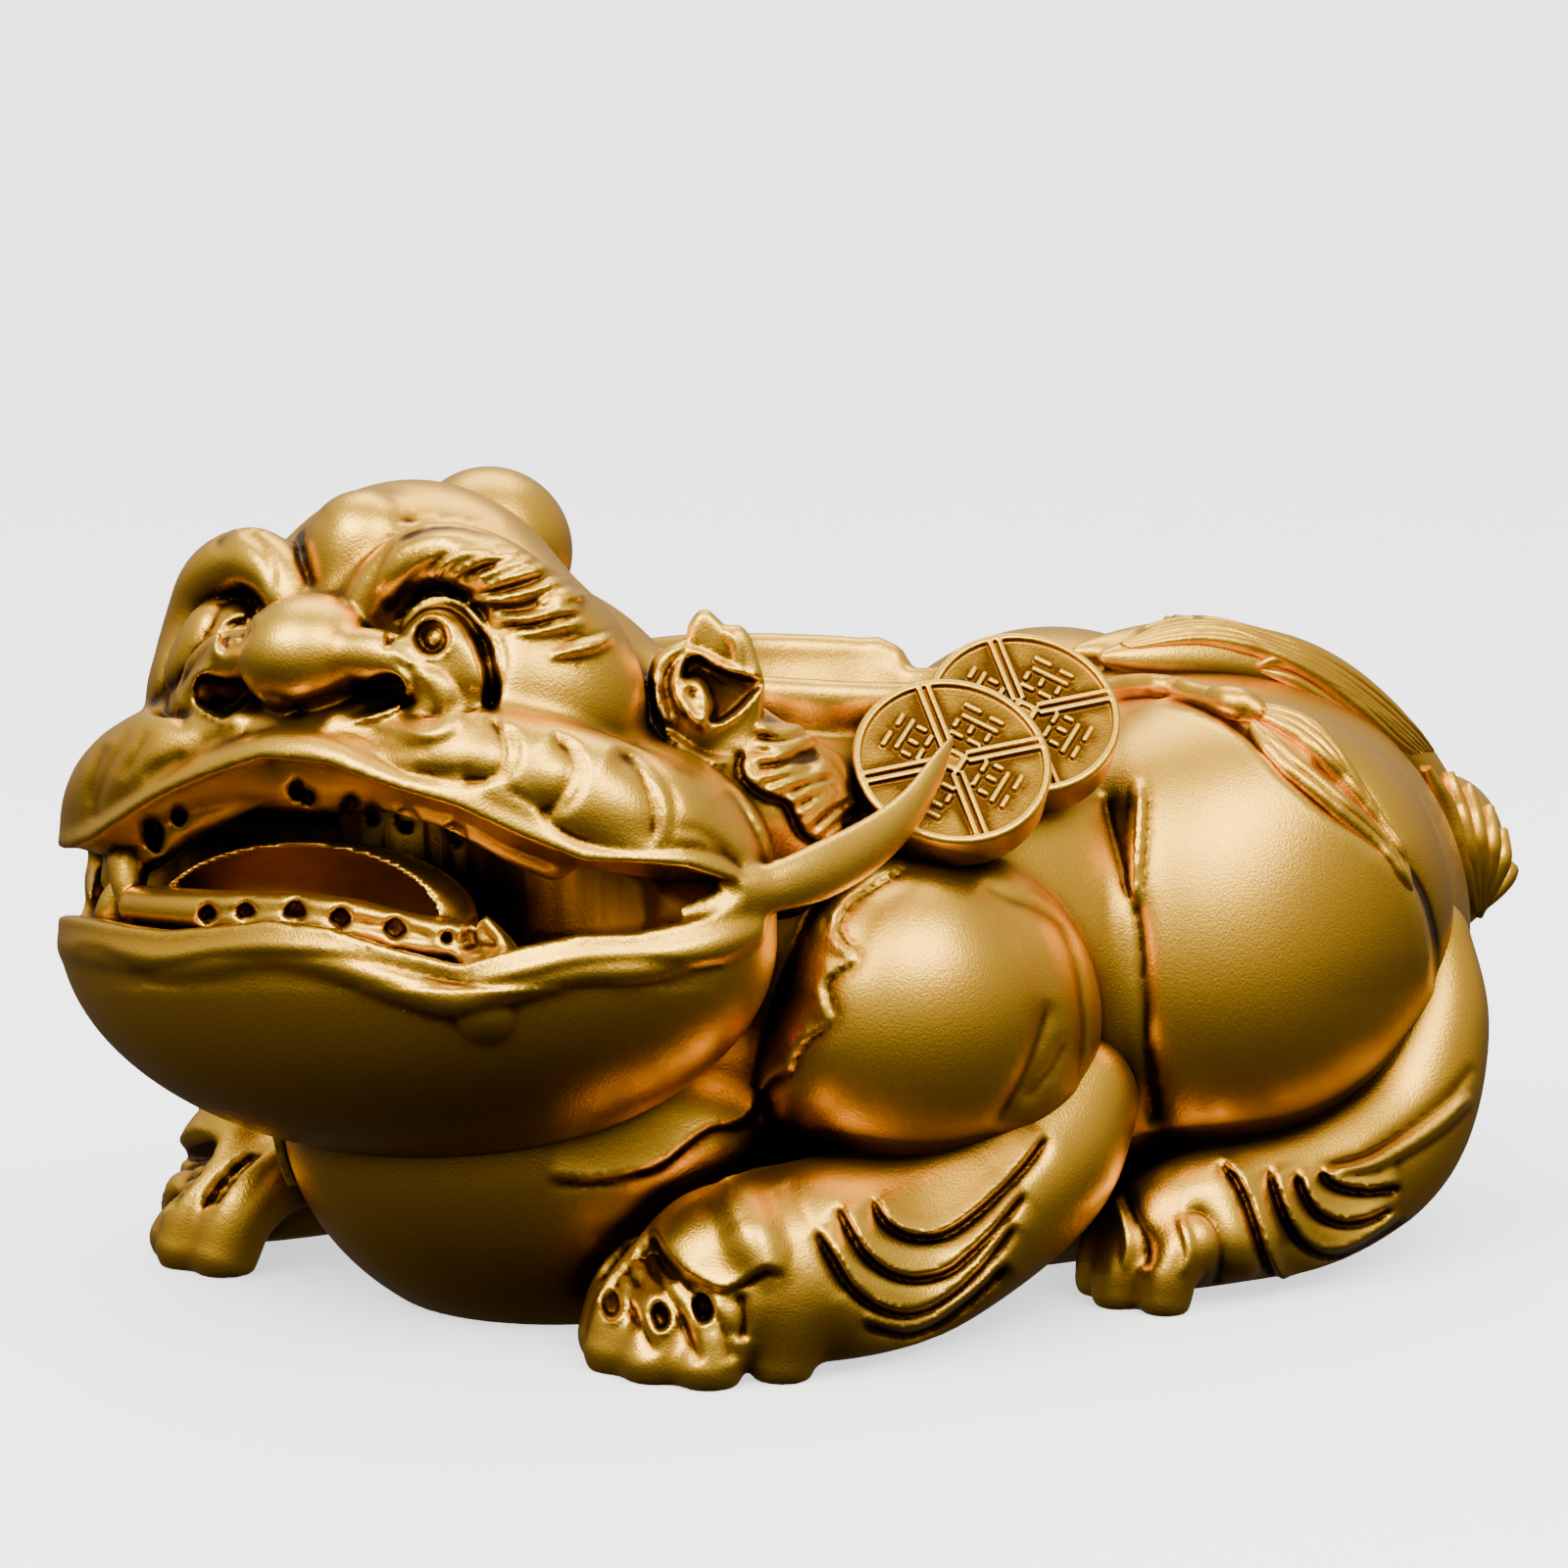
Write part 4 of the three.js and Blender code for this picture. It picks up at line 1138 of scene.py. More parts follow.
FOREARM_FOLDS = (((893, 1222), (904, 1244), (922, 1257), (944, 1261), (966, 1256), (990, 1240),
                  (1016, 1217), (1042, 1190), (1066, 1158)),
                 ((858, 1230), (873, 1260), (889, 1283), (914, 1299), (940, 1302), (966, 1295),
                  (990, 1276), (1016, 1250), (1044, 1216)),
                 ((836, 1255), (853, 1284), (870, 1311), (890, 1328), (915, 1338), (941, 1336),
                  (966, 1323), (990, 1303), (1012, 1278), (1034, 1248)),
                 ((880, 1348), (904, 1356), (926, 1359), (952, 1351), (977, 1334), (1002, 1313),
                  (1026, 1288)))
FOREARM_CREASE = ((802, 1206), (816, 1232), (830, 1262), (846, 1292), (862, 1322))
PAW_BACK = ((722, 1188), (752, 1186), (782, 1240), (800, 1292), (776, 1304), (748, 1262))
PAW_EDGE = ((668, 1256), (680, 1281), (702, 1301), (734, 1316), (756, 1310), (780, 1295), (800, 1300))

# The outline of a claw's hole and the rim beside it, from the hole's middle
CLAW_HOLE = ((-9, -4), (-2, -14), (8, -4), (7, 9), (-3, 12))
CLAW_RIM = ((-8, 13, 2), (5, 14, 4), (12, 2, 4), (9, -12, 2))

# The middles of the claws' holes
CLAW_HOLES = ((624, 1332), (674, 1344), (718, 1336))

# Creases between the toes and along them
TOE_CREASES = (((588, 1238), (614, 1285), (645, 1335), (670, 1382)),
               ((624, 1222), (655, 1278), (692, 1338), (716, 1390)),
               ((664, 1262), (690, 1302), (718, 1330), (738, 1356), (748, 1390)),
               ((756, 1320), (760, 1345), (757, 1368)),
               ((606, 1228), (630, 1278), (655, 1318)),
               ((640, 1226), (668, 1272), (690, 1306)))


def paw_drawing():
    """The folds of the forearm, each with a deep shadow under it, and the back and toes of the paw."""
    drawing = Drawing(560, 1120, 1120, 1430)
    for fold, rise in zip(FOREARM_FOLDS, (2.0, 2.0, 1.9, 0.9)):
        drawing.ledge(fold, rise=rise, drop=2.5, left=18, right=9, ends=0.1)
    drawing.crease(FOREARM_CREASE, depth=0.6, left=8, right=14)
    drawing.patch(PAW_BACK, height=1.3, soft=34)
    drawing.ledge(PAW_EDGE, rise=1.0, drop=1.0, left=18, right=14)
    for u, v in CLAW_HOLES:
        drawing.patch([(u + across, v + down) for across, down in CLAW_HOLE], height=-3.2, soft=5)
        drawing.strands(0.7, [(u + across, v + down, half) for across, down, half in CLAW_RIM])
    for line in TOE_CREASES:
        drawing.crease(line, depth=1.7, left=5, right=11, ends=0.12)
    return drawing


SHIN_FOLDS = (((1350, 1192), (1358, 1204), (1374, 1211), (1400, 1213), (1428, 1209)),
              ((1326, 1196), (1334, 1219), (1348, 1238), (1370, 1246), (1394, 1243), (1420, 1231)),
              ((1298, 1192), (1307, 1224), (1319, 1251), (1335, 1271), (1358, 1279), (1384, 1272),
               (1408, 1258), (1430, 1242)),
              ((1246, 1184), (1262, 1200), (1275, 1226), (1285, 1256), (1294, 1284), (1305, 1306),
               (1322, 1317), (1345, 1314), (1375, 1300), (1400, 1284)))
SEAM_ROLL = ((1362, 1196, 4), (1402, 1186, 7), (1440, 1166, 8), (1472, 1144, 8), (1500, 1118, 5))
SEAM = ((1346, 1190), (1388, 1179), (1420, 1160), (1452, 1138), (1484, 1112), (1504, 1088))
SIDE_TOE_CREASE = ((1208, 1236), (1226, 1238), (1240, 1252), (1246, 1275), (1242, 1304), (1230, 1322))
SIDE_TOE_ROLL = ((1203, 1240, 3), (1210, 1258, 5), (1214, 1280, 5), (1207, 1302, 4))
MIDDLE_TOE_CREASE = ((1148, 1214), (1158, 1244), (1170, 1268), (1172, 1296))
MIDDLE_TOE_ROLL = ((1130, 1212, 3), (1142, 1236, 5), (1150, 1266, 5), (1148, 1296, 4))


def foot_drawing():
    """The folds over the hind foot and the seam above them."""
    drawing = Drawing(1080, 1060, 1560, 1360)
    for fold in SHIN_FOLDS:
        drawing.ledge(fold, rise=1.7, drop=2.4, left=15, right=8, ends=0.1)
    drawing.strands(1.3, SEAM_ROLL, ends=0.06)
    drawing.crease(SEAM, depth=0.9, left=5, right=4)
    drawing.crease(SIDE_TOE_CREASE, depth=1.4, left=8, right=5)
    drawing.strands(1.0, SIDE_TOE_ROLL)
    drawing.crease(MIDDLE_TOE_CREASE, depth=1.4, left=6, right=6)
    drawing.strands(0.8, MIDDLE_TOE_ROLL)
    return drawing


# Where each toe of the hind foot stands
HIND_TOES = [(44, 15), (51.5, 13), (58.5, 17)]


def hind_leg():
    """Shin, folds and foot of the left side."""
    clay = Clay((24, -4, -2), (76, 98, 62), LIMB_GRAIN)
    shin = [[39, 80, 50, 7], [43, 76, 36, 11], [46, 66, 21, 13.5], [50, 48, 14, 13], [51.5, 28, 12, 11.5],
            [50, 20, 10, 10]]
    clay.add(rope(shin))
    clay.soften(LIMB_SOFTNESS)
    for x, y in HIND_TOES:
        toe = [[x, y + 12, 10, 6], [x, y + 3, 10, 5], [x, y - 1, 6.5, 4.6], [x, y - 2, 2.5, 4.2]]
        clay.add(rope(toe), 2.5)
    foot_drawing().press(clay)
    clay.stand()
    return clay


def mane(clay):
    """A ridge of hair from between the shoulders over the rump."""
    crest = [(38, 94.8, 1.5), (46, 93.6, 4.2), (54, 93, 5.8), (64, 91.6, 7.2), (74, 88.2, 8.6),
             (83, 83.4, 9.2), (92, 76.6, 9.2), (100, 70, 8), (107, 64, 6)]
    for side in SIDES:
        clay.add(rope([[side * 4, y, z, r] for y, z, r in crest], steps=3), 2)


# The tail's middle lies this far to the left of the body's
TAIL_MIDDLE = 3


def tail(clay):
    """The smooth inside of the fan that the feathers lie on."""
    root = egg((TAIL_MIDDLE, 100, 59), (10, 8, 14))
    fan = egg((TAIL_MIDDLE, 109.3, 56), (9.5, 13, 14.2))
    clay.add(melted([root, fan], 2), 1)


# Middle of the bowl, how far its wall stands to the side and ahead of that, and the wall's half thickness
BOWL_MIDDLE = (-1, -12)
BOWL_SIDE, BOWL_FRONT = 27.5, 31.5
BOWL_WALL = 2.3

# How far below the rim each ring of the wall lies
BOWL_RINGS = (0, 2.2, 4.4, 6.6, 8.8, 11)

# Height of the bowl's rim from its back left to its front right
BOWL_LEAN = (-1.2, 0, 1.2)
BOWL_RIM = (93, 95.2, 97.2)


def bowl(clay):
    """A bowl sunk between the shoulders, with a wall of stacked rings round it that is open at the back."""
    x, y = BOWL_MIDDLE
    clay.cut(egg((x, y, 97), (25, 29, 24)), 2)
    for drop in BOWL_RINGS:
        ring = []
        inset = 0.04 * drop ** 2
        for degrees in range(-150, 151, 10):
            turn = math.radians(degrees)
            rise = np.interp(math.cos(turn) - 0.6 * math.sin(turn), BOWL_LEAN, BOWL_RIM)
            rise -= 0.07 * max(0, abs(degrees) - 137) ** 2
            across, ahead = (BOWL_SIDE - inset) * math.sin(turn), (BOWL_FRONT - inset) * math.cos(turn)
            ring.append([x + across, y - ahead, rise - drop, BOWL_WALL])
        clay.add(rope(ring, steps=2), 2.2)


SHOULDER_EDGE = ((1002, 902), (1032, 919), (1062, 929), (1082, 946), (1094, 975), (1102, 1010),
                 (1106, 1060), (1098, 1110))
SHOULDER_FOLD = ((1070, 1022), (1062, 1050), (1050, 1082), (1038, 1108), (1016, 1146))
SHOULDER_SHADE = ((1088, 1058), (1077, 1082), (1062, 1103), (1044, 1122))


def shoulder_drawing():
    """The left shoulder's outline against the flank."""
    drawing = Drawing(880, 860, 1200, 1240)
    drawing.crease(SHOULDER_EDGE, depth=1.2, left=8, right=18)
    drawing.crease(SHOULDER_FOLD, depth=1.0, left=9, right=7)
    drawing.crease(SHOULDER_SHADE, depth=0.8, left=8, right=6)
    return drawing


FLANK_CREASE = ((1126, 812), (1138, 862), (1150, 905), (1162, 940), (1167, 1000), (1170, 1070),
                (1176, 1150))
LEAF = ((1163, 796, 4), (1162, 820, 7), (1160, 855, 8), (1158, 890, 7), (1158, 926, 4))
HAUNCH_EDGE = ((1462, 1010), (1460, 960), (1448, 915), (1428, 885), (1396, 858), (1356, 832),
               (1316, 798), (1286, 768), (1258, 744), (1220, 724), (1180, 714), (1140, 716))
TASSEL_HOLLOW = ((1340, 776), (1376, 800), (1402, 834), (1420, 864))


def side_drawing():
    """The leaf and the long crease beside it, the haunch's edge and the hollow that the tassel lies in."""
    drawing = Drawing(880, 600, 1570, 1240)
    drawing.crease(FLANK_CREASE, depth=1.8, left=12, right=6, ends=0.05)
    drawing.strands(1.8, LEAF, ends=0.1)
    drawing.ledge(HAUNCH_EDGE, rise=0.9, drop=1.5, left=45, right=16, ends=0.08)
    drawing.crease(TASSEL_HOLLOW, depth=2.0, left=9, right=9, ends=0.3)
    return drawing


MANE_SOFTNESS = 1.2


def mane_and_tail():
    """The ridge of hair and the fan of the tail, smooth under their locks and feathers."""
    clay = Clay((-22, 34, 34), (26, 125, 104), MANE_GRAIN)
    mane(clay)
    clay.soften(MANE_SOFTNESS)
    tail(clay)
    return clay


HEM = ((560, 1203), (610, 1204), (650, 1198), (678, 1188), (700, 1170), (722, 1154), (745, 1150),
       (766, 1141), (776, 1120), (788, 1104), (806, 1094), (812, 1076), (826, 1058), (842, 1048),
       (849, 1040), (843, 1022), (842, 1004), (852, 992), (868, 984), (872, 974), (860, 963), (853, 950),
       (857, 934), (870, 918), (896, 901), (926, 882))
HEM_FOLDS = (((849, 1040), (836, 1043), (822, 1052)),
             ((872, 974), (862, 976), (848, 988)),
             ((806, 1094), (796, 1098), (782, 1108)),
             ((853, 950), (846, 946), (842, 934)))


def hem_drawing():
    """The ruffled hem of the mantle, over the shoulder and down under the chin."""
    drawing = Drawing(560, 860, 960, 1230)
    drawing.ledge(HEM, rise=1.1, drop=0.9, left=16, right=5, ends=0.02)
    for fold in HEM_FOLDS:
        drawing.crease(fold, depth=0.9, left=4, right=4, ends=0.4)
    return drawing


def body():
    """Trunk, thighs, shoulders, mantle and bowl, with what is carved in them."""
    clay = Clay((-76, -120, -2), (76, 126, 110), BODY_GRAIN)
    trunk(clay)
    haunches(clay)
    shoulders(clay)
    mantle(clay)
    bowl(clay)
    side_drawing().press(clay, twin=0.8)
    shoulder_drawing().press(clay)
    hem_drawing().press(clay)
    clay.stand()
    return clay


# Cord and tassels, drawn over the photograph: across, down and, for the cord, its thickness in millimetres
CORD = ((1118, 708, 2.1), (1140, 703, 2.2), (1170, 701, 2.2), (1200, 704, 2.2), (1226, 710, 2.1),
        (1240, 714, 2.3))
KNOT = ((1238, 713, 2.2), (1250, 716, 2.9), (1264, 720, 3.0), (1276, 724, 2.6), (1286, 730, 1.8))
TASSEL_TOP = ((1280, 722), (1305, 727), (1333, 738), (1352, 756), (1370, 782), (1386, 806), (1408, 838),
              (1428, 866), (1440, 908))
TASSEL_INNER = ((1280, 733), (1302, 746), (1328, 766), (1352, 788), (1378, 812), (1398, 832), (1412, 850),
                (1428, 874), (1440, 908))
TASSEL_LOW = ((1278, 742), (1292, 762), (1312, 784), (1342, 808), (1372, 834), (1398, 856), (1416, 874),
              (1430, 892), (1440, 908))

# Thickness of a tassel's strand in millimetres, at some of its points
TASSEL_PLACES = (0, 1, 4, 7, 8)
TASSEL_THICKNESS = (0.9, 1.3, 1.5, 1, 0.4)

# The right side's cord hangs lower on its hip by some pixels, and comes out from behind it some points on
HIP_DROP = 48
HIDDEN_POINTS = 4

# How far off the camera's aim, and how finely, the surface is looked for, and how deep a strand sits in it
SIGHT_SPAN, SIGHT_STEP = 110, 0.3
STRAND_SEAT = 0.35

# Millimetres between the rings of a strand, and the sides of a ring
STRAND_STEP = 1.0
STRAND_SIDES = 12


def laid_on(clay, line, side, middle=0.0):
    """Points above the clay's surface under a line drawn over the photograph, mirrored for the right side."""
    back, across, up = camera_axes()
    away = CAMERA_AWAY + np.arange(-SIGHT_SPAN, SIGHT_SPAN, SIGHT_STEP)
    slope = FILM_WIDTH / CAMERA_LENS / PHOTO_SIDE
    points = []
    for u, v, thick in smooth_path(line, 4):
        way = slope * (u - PHOTO_SIDE / 2) * across - slope * (v - PHOTO_SIDE / 2) * up - back
        ray = np.array(CAMERA_AIM) + CAMERA_AWAY * back + way * away[:, None]
        ray[:, 0] = middle + side * (ray[:, 0] - middle)
        hits = clay.sample(ray, clay.depth) < STRAND_SEAT * thick
        if hits.any():
            points.append([*ray[np.argmax(hits)], thick])
    return np.array(points).reshape(-1, 4)


def cord_guides(clay):
    """A line down the middle of the cord, of its knot and of every strand of the tassels."""
    lines = []
    for side in SIDES:
        drop, first = (0, 0) if side == LEFT else (HIP_DROP, HIDDEN_POINTS)
        lines += [laid_on(clay, np.array(line) + (0, drop, 0), side) for line in (CORD[first:], KNOT)]
        edges = (TASSEL_TOP, TASSEL_INNER, TASSEL_LOW)
        top, inner, low = (np.array(line, float) + (0, drop) for line in edges)
        sheaf = [top + (inner - top) * share for share in (0, 0.3, 0.6)]
        sheaf += [low + (inner - low) * share for share in (0, 0.4)]
        for strand in sheaf:
            thick = np.interp(np.arange(len(strand)), TASSEL_PLACES, TASSEL_THICKNESS)
            lines.append(laid_on(clay, np.column_stack([strand, thick]), side))
    return lines


# Locks of the mane from its outline inwards, and feathers of the tail from front to back: across and down
MANE_LOCKS = (((1144, 657), (1169, 641), (1215, 633), (1262, 640), (1328, 659), (1387, 690), (1440, 737),
               (1464, 766)),
              ((1146, 659), (1192, 646), (1238, 643), (1285, 656), (1342, 680), (1396, 717), (1436, 750),
               (1454, 766)),
              ((1152, 661), (1215, 652), (1262, 657), (1307, 671), (1362, 701), (1400, 728), (1428, 752),
               (1448, 768)))
LOW_LOCKS = (((1283, 680), (1305, 673), (1342, 690), (1383, 721), (1419, 752), (1442, 768)),
             ((1287, 684), (1319, 695), (1360, 721), (1396, 748), (1420, 764), (1432, 772)))
FEATHERS = (((1508, 942), (1494, 886), (1475, 826), (1456, 784)),
            ((1509, 940), (1502, 886), (1490, 835), (1479, 789)),
            ((1510, 937), (1510, 888), (1505, 845), (1499, 803)),
            ((1510, 934), (1517, 892), (1520, 858), (1520, 824)),
            ((1511, 931), (1524, 898), (1531, 874), (1534, 848)),
            ((1511, 928), (1529, 905), (1538, 887), (1540, 870)))

# Thickness in millimetres: of a lock at shares of its length, on the right side as a share, and of a feather
LOCK_THICKNESS = 1.45
LOCK_SHARES = (0, 0.2, 0.6, 1)
LOCK_TAPER = (0.3, 0.9, 1, 0.3)
RIGHT_LOCK = 0.6
FEATHER_THICKNESS = (0.7, 1.7, 2.1, 0.9)


def hair_guides(clay):
    """A line for each lock of the mane and each feather of the tail."""
    lines = []
    top, middle, low = (np.array(line, float) for line in MANE_LOCKS)
    locks = [0.75 * top + 0.25 * middle, 0.35 * top + 0.65 * middle, middle, (middle + low) / 2, low]
    locks += [np.array(line, float) for line in LOW_LOCKS]
    for side in SIDES:
        for lock in locks:
            thick = LOCK_THICKNESS * np.interp(np.linspace(0, 1, len(lock)), LOCK_SHARES, LOCK_TAPER)
            shown = np.column_stack([lock, thick])
            lines.append(laid_on(clay, shown if side == LEFT else shown[2:] * (1, 1, RIGHT_LOCK), side))
        for feather in FEATHERS:
            lines.append(laid_on(clay, np.column_stack([feather, FEATHER_THICKNESS]), side, TAIL_MIDDLE))
    return lines


def node(tree, kind, **values):
    """A new node, with values for inputs whose names are the words, joined by underscores."""
    made = tree.nodes.new(kind)
    for words, value in values.items():
        made.inputs[words.replace("_", " ").title()].default_value = value
    return made


def wire(tree, *links):
    """Join nodes; a link is a node, its output, another node and its input."""
    for giver, output, taker, slot in links:
        tree.links.new(giver.outputs[output], taker.inputs[slot])


def strand_tree():
    """Geometry Nodes: a round strand along every guide line, as thick as the line says."""
    tree = bpy.data.node_groups.new("strands_along_guides", "GeometryNodeTree")
    tree.interface.new_socket("Guides", in_out="INPUT", socket_type="NodeSocketGeometry")
    inputs = {"Thickness": "Float", "Spacing": "Float", "Sides": "Int", "Finish": "Material"}
    for name, kind in inputs.items():
        tree.interface.new_socket(name, in_out="INPUT", socket_type="NodeSocket" + kind)
    tree.interface.new_socket("Strands", in_out="OUTPUT", socket_type="NodeSocketGeometry")
    given, made = node(tree, "NodeGroupInput"), node(tree, "NodeGroupOutput")
    curves = node(tree, "GeometryNodeMeshToCurve")
    widths = node(tree, "GeometryNodeInputNamedAttribute", name="thickness")
    scale = node(tree, "ShaderNodeMath")
    scale.operation = "MULTIPLY"
    even = node(tree, "GeometryNodeResampleCurve")
    even.mode = "LENGTH"
    ring = node(tree, "GeometryNodeCurvePrimitiveCircle", radius=1)
    tube = node(tree, "GeometryNodeCurveToMesh", fill_caps=True)
    smooth = node(tree, "GeometryNodeSetShadeSmooth")
    real = node(tree, "GeometryNodeRealizeInstances")
    finish = node(tree, "GeometryNodeSetMaterial")
    wire(tree, (given, "Guides", curves, "Mesh"), (curves, "Curve", even, "Curve"),
         (widths, "Attribute", scale, 0), (given, "Thickness", scale, 1),
         (scale, "Value", tube, "Scale"), (given, "Spacing", even, "Length"),
         (given, "Sides", ring, "Resolution"), (even, "Curve", tube, "Curve"),
         (ring, "Curve", tube, "Profile Curve"), (tube, "Mesh", smooth, "Geometry"),
         (smooth, "Geometry", real, "Geometry"), (real, "Geometry", finish, "Geometry"),
         (given, "Finish", finish, "Material"), (finish, "Geometry", made, "Strands"))
    return tree


def strands(name, lines, paint):
    """A piece with a round strand along each guide line."""
    knots = np.vstack(lines)
    first = np.cumsum([0] + [len(line) for line in lines])
    edges = [(i, i + 1) for start, end in zip(first[:-1], first[1:]) for i in range(start, end - 1)]
    mesh = bpy.data.meshes.new(name)
    mesh.from_pydata([tuple(place) for place in (knots[:, :3] - BOX_MIDDLE) * MM], edges, [])
    noted(mesh, "thickness", knots[:, 3])
    piece = linked(name, mesh)
    grown = piece.modifiers.new("strands", "NODES")
    grown.node_group = strand_tree()
    values = {"Thickness": MM, "Spacing": STRAND_STEP * MM, "Sides": STRAND_SIDES, "Finish": paint}
    for socket in grown.node_group.interface.items_tree:
        if socket.in_out == "INPUT" and socket.name in values:
            grown[socket.identifier] = values[socket.name]
    return applied(piece)


# Coins: two discs leaning against the bowl, with rows of short strokes between pairs of bars

COIN_ACROSS = 30.5
COIN_THICK = 7.0
COIN_RIM = 1.3
COIN_RELIEF = 0.9
FRONT_COIN = (44.0, -15.1, 86.8)
REAR_COIN = (35.8, 3.0, 92.0)

# Where a coin faces, and how its bars are turned
COIN_BEARING, COIN_RISE, COIN_TURN = 68.0, 43.0, 12.0

# Half the width of a stroke or bar, half a bar's length, how far out its middle is and how far off the axis
STROKE_HALF = 0.42
BAR_HALF = 6.2
BAR_OUT = 8.5
BAR_APART = 0.75


def disc(radius, low, high, edge):
    """A flat round of the coin, between two heights, with a rounded edge."""
    def depth(x, y, z):
        across = np.sqrt(x * x + y * y) - (radius - edge)
        up = np.abs(z - (low + high) / 2) - ((high - low) / 2 - edge)
        return rounded(edge, across, up)
    return Form((-radius, -radius, low), (radius, radius, high), depth)


def brick(centre, half, turn, edge=0.25):
    """A small block lying on the coin's face."""
    c, s = math.cos(math.radians(turn)), math.sin(math.radians(turn))
    reach = np.array([math.hypot(*half[:2]), math.hypot(*half[:2]), half[2]])

    def depth(x, y, z):
        u, v, w = x - centre[0], y - centre[1], z - centre[2]
        sides = zip((c * u + s * v, c * v - s * u, w), half)
        return rounded(edge, *(np.abs(off) - (size - edge) for off, size in sides))

    return Form(np.array(centre) - reach, np.array(centre) + reach, depth)


# Strokes of one quarter, in rows from its outer edge inwards: across, outwards, half length, turn
STROKES = ((-2.6, 10.2, 1.3, 0), (1.6, 10.4, 1.6, 0), (-0.6, 8.4, 3.2, 0), (-2.8, 6.6, 0.9, 90),
           (0.1, 6.6, 0.9, 90), (2.6, 6.6, 0.9, 90), (-1.4, 4.7, 1.2, 0), (1.6, 4.7, 1.2, 0))


def coin():
    """A coin facing up, its face at height nought."""
    radius = COIN_ACROSS / 2
    clay = Clay((-radius - 1, -radius - 1, -COIN_THICK - 1), (radius + 1, radius + 1, 1), COIN_GRAIN)
    clay.add(disc(radius, -COIN_THICK, 0, 0.7))
    clay.cut(disc(radius - COIN_RIM, -COIN_RELIEF, 3, 0.2), 0.3)
    for turn in (0, 90, 180, 270):
        x, y = math.cos(math.radians(turn)), math.sin(math.radians(turn))
        for side in SIDES:
            apart = side * BAR_APART
            middle = (BAR_OUT * x - apart * y, BAR_OUT * y + apart * x, -COIN_RELIEF)
            clay.add(brick(middle, (BAR_HALF, STROKE_HALF, COIN_RELIEF), turn), 0.15)
        heading = math.radians(turn + 45)
        x, y = math.cos(heading), math.sin(heading)
        for across, out, half, lean in STROKES:
            place = (out * x - across * y, out * y + across * x, -COIN_RELIEF)
            clay.add(brick(place, (half, STROKE_HALF, COIN_RELIEF * 0.9), turn + 135 + lean), 0.12)
    clay.add(brick((0, 0, -COIN_RELIEF), (1.9, 1.9, COIN_RELIEF), 45), 0.2)
    clay.cut(brick((0, 0, 0.2), (1.0, 1.0, 0.8), 45), 0.1)
    return clay


def coin_place(centre):
    """Where a coin leans against the body."""
    out = toward(COIN_BEARING, COIN_RISE)
    level = np.array([-out[1], out[0], 0]) / math.hypot(out[0], out[1])
    place = np.eye(4)
    place[:3, :3] = np.stack([level, np.cross(out, level), out], 1) @ turned((0, 0, COIN_TURN))
    place[:3, 3] = centre
    return place


# Finish

# Colours of the gold paint from carved in to raised, darkened to painted shade where carved in, as (level,
# red, green, blue), and the painted shade in the deepest hollows and on undersides
GOLD_AND_CREASE_SHADE_TONES = ((0.30, 0.12, 0.045, 0.003), (0.46, 0.88, 0.45, 0.03), (0.62, 1.0, 0.57, 0.05))
HOLLOW_SHADE_TONE = (0.05, 0.02, 0.002, 1)


def coloured(ramp, tones):
    """Set the stops of a colour ramp, first and last in the two that it has."""
    stops = ramp.color_ramp.elements
    for stop, (level, *_) in zip(stops, (tones[0], tones[-1])):
        stop.position = level
    for level, *_ in tones[1:-1]:
        stops.new(level)
    for stop, (_, *colour) in zip(stops, tones):
        stop.color = (*colour, 1)


def gold_and_painted_shade():
    """Satin gold paint with a fine grain, darkened by painted shade where it is carved in, in hollows and
    where it faces down.
    """
    paint = bpy.data.materials.new("satin_gold_with_painted_shade")
    paint.use_nodes = True
    tree = paint.node_tree
    shader = tree.nodes["Principled BSDF"]
    shader.inputs["Metallic"].default_value = 1.0
    place = node(tree, "ShaderNodeTexCoord")
    grain = node(tree, "ShaderNodeTexNoise", scale=2600, detail=2)
    relief, inner = node(tree, "ShaderNodeAttribute"), node(tree, "ShaderNodeAttribute")
    relief.attribute_name, inner.attribute_name = "carving", "hollow"
    # Painted shade: carved-in places go dark brown along the colour ramp.
    lift = node(tree, "ShaderNodeMapRange", from_min=-0.8, from_max=0.8)
    tone = node(tree, "ShaderNodeValToRGB")
    coloured(tone, GOLD_AND_CREASE_SHADE_TONES)
    # Painted shade: the hollow attribute mixes the gold towards dark brown in hollows and on undersides.
    depth = node(tree, "ShaderNodeMapRange", from_min=0.29, from_max=0.54, to_max=0.96)
    shade = node(tree, "ShaderNodeMix")
    shade.data_type = "RGBA"
    shade.inputs["B"].default_value = HOLLOW_SHADE_TONE
    rough = node(tree, "ShaderNodeMapRange", to_min=0.27, to_max=0.40)
    bump = node(tree, "ShaderNodeBump", strength=0.4, distance=0.00016)
    wire(tree, (place, "Object", grain, "Vector"), (relief, "Fac", lift, "Value"),
         (lift, "Result", tone, "Fac"), (inner, "Fac", depth, "Value"), (depth, "Result", shade, "Factor"),
         (tone, "Color", shade, "A"), (shade, "Result", shader, "Base Color"),
         (grain, "Fac", rough, "Value"), (rough, "Result", shader, "Roughness"),
         (grain, "Fac", bump, "Height"), (bump, "Normal", shader, "Normal"))
    return paint


# Studio: floor, lights and camera

# The backdrop's section from the floor outwards, as (radius, height) in metres
BACKDROP = ((0.6, 0.0), (0.9, 0.0), (1.2, 0.02), (1.5, 0.08), (1.8, 0.18), (2.05, 0.32), (2.3, 0.52),
            (2.5, 0.78), (2.62, 1.1), (2.7, 1.6), (2.7, 3.2))

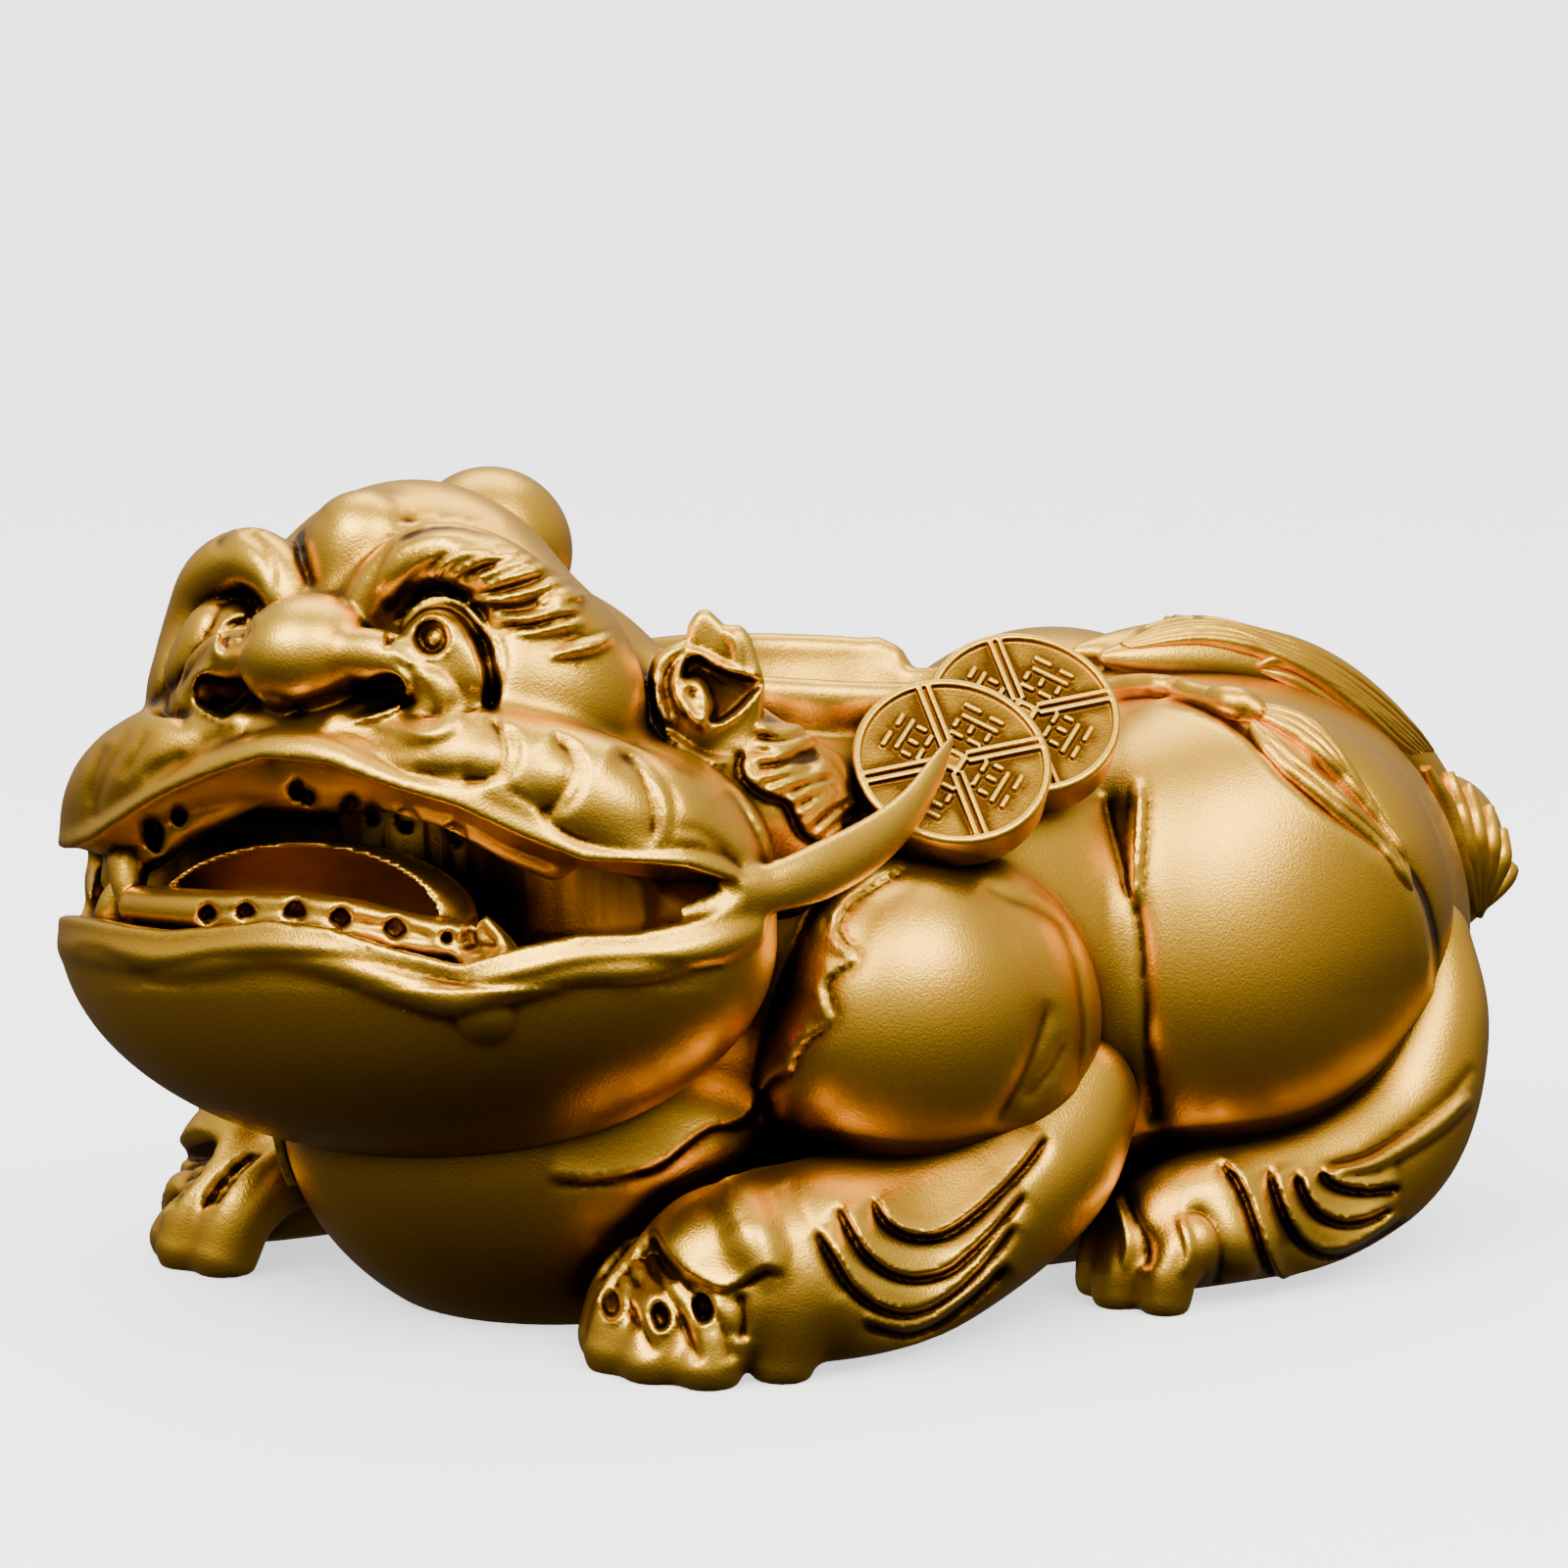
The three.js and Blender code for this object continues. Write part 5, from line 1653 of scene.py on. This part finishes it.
# Colours of the sky from straight down to straight up, as (level, red, green, blue)
SKY_GREYS = ((0.40, 0.12), (0.5, 0.26), (0.62, 0.6))
SKY_TONES = ((0.0, 0.02, 0.015, 0.01), *((level, grey, grey * 0.95, grey * 0.9) for level, grey in SKY_GREYS),
             (1.0, 1.0, 1.0, 1.0))

# Lamps: name, bearing from the camera's, height in degrees, distance and size in metres, power
LAMPS = (("key", -38, 48, 1.1, (0.7, 0.5), 12), ("fill", 32, 50, 1.1, (0.7, 0.5), 10),
         ("top", 180, 62, 1.2, (0.9, 0.6), 7))


def aimed(thing, place, aim):
    """Put a camera or lamp in its place and turn it to what it looks at."""
    thing.location = place
    thing.rotation_euler = (aim - place).to_track_quat("-Z", "Y").to_euler()


def camera():
    """The camera that sees the figure as the photograph does."""
    view = linked("camera", bpy.data.cameras.new("camera"))
    view.data.lens = CAMERA_LENS
    view.data.clip_start = 0.01
    aim = (Vector(CAMERA_AIM) - Vector(BOX_MIDDLE)) * MM
    aimed(view, aim + Vector(toward(CAMERA_TURN, CAMERA_RISE)) * CAMERA_AWAY * MM, aim)
    bpy.context.scene.camera = view


def softbox(name, turn, rise, away, size, power):
    """A soft lamp at a bearing and height round the figure."""
    lamp = bpy.data.lights.new(name, "AREA")
    lamp.shape = "RECTANGLE"
    lamp.size, lamp.size_y = size
    lamp.energy = power
    aim = Vector((0, 0, 0.05))
    aimed(linked(name, lamp), aim + Vector(toward(turn, rise)) * away, aim)


def paper():
    """Matt white, lit from within so that the backdrop stays bright."""
    made = bpy.data.materials.new("paper")
    made.use_nodes = True
    sheen = made.node_tree.nodes["Principled BSDF"]
    sheen.inputs["Base Color"].default_value = (0.86, 0.86, 0.86, 1)
    sheen.inputs["Roughness"].default_value = 0.9
    sheen.inputs["Emission Color"].default_value = (1, 1, 1, 1)
    sheen.inputs["Emission Strength"].default_value = 1.1
    made.cycles.emission_sampling = "NONE"
    return made


def backdrop():
    """A pale floor that rises to a wall all round."""
    turns = np.radians(np.arange(0, 360, 5))
    count = len(turns)
    places = [(0.0, 0.0, 0.0)] + [(r * math.sin(t), r * math.cos(t), z) for r, z in BACKDROP for t in turns]
    faces = [(0, 1 + (i + 1) % count, 1 + i) for i in range(count)]
    for row in range(len(BACKDROP) - 1):
        for i in range(count):
            a, b = 1 + row * count + i, 1 + row * count + (i + 1) % count
            faces.append((a, b, b + count, a + count))
    mesh = bpy.data.meshes.new("floor")
    mesh.from_pydata(places, [], faces)
    mesh.polygons.foreach_set("use_smooth", [True] * len(mesh.polygons))
    mesh.materials.append(paper())
    floor = linked("floor", mesh)
    floor.visible_glossy = False


def sky():
    """Light from all round, dark below the horizon and bright above."""
    world = bpy.data.worlds.new("studio")
    bpy.context.scene.world = world
    world.use_nodes = True
    tree = world.node_tree
    place, parts = node(tree, "ShaderNodeTexCoord"), node(tree, "ShaderNodeSeparateXYZ")
    ramp = node(tree, "ShaderNodeValToRGB")
    coloured(ramp, SKY_TONES)
    span = node(tree, "ShaderNodeMapRange", from_min=-1)
    glow = tree.nodes["Background"]
    glow.inputs["Strength"].default_value = 0.85
    wire(tree, (place, "Generated", parts, "Vector"), (parts, "Z", span, "Value"),
         (span, "Result", ramp, "Fac"), (ramp, "Color", glow, "Color"))


torso, hair, front_limb, hind_limb, money = body(), mane_and_tail(), front_leg(), hind_leg(), coin()
still = np.eye(4)

# Every sculpted piece: its name, clay, place and most triangles
sculpts = [("pixiu_body", torso, still, MOST_FACES),
           ("pixiu_head", head(), head_place(), MOST_FACES),
           ("mane_and_tail", hair, still, MANE_FACES),
           ("left_front_leg", front_limb, still, LIMB_FACES),
           ("right_front_leg", front_limb, mirror_across(RIGHT_PAW_LEAD), LIMB_FACES),
           ("left_hind_leg", hind_limb, still, LIMB_FACES),
           ("right_hind_leg", hind_limb, mirror_across(0), LIMB_FACES)]
for name, centre in (("front_coin", FRONT_COIN), ("rear_coin", REAR_COIN)):
    sculpts.append((name, money, coin_place(centre), COIN_FACES))
pieces = [sculpted(*sculpt) for sculpt in sculpts]
paint_shade_in_hollows(pieces, [(clay, place) for _, clay, place, _ in sculpts])

paint = gold_and_painted_shade()
for piece in pieces:
    piece.data.materials.append(paint)
pieces.append(strands("cord_and_tassels", cord_guides(torso), paint))
pieces.append(strands("mane_locks_and_tail_feathers", hair_guides(hair), paint))
for piece in pieces:
    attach(piece, "root")
    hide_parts("pixiu")

camera()
backdrop()
sky()
for name, turn, rise, away, size, power in LAMPS:
    softbox(name, CAMERA_TURN + turn, rise, away, size, power)
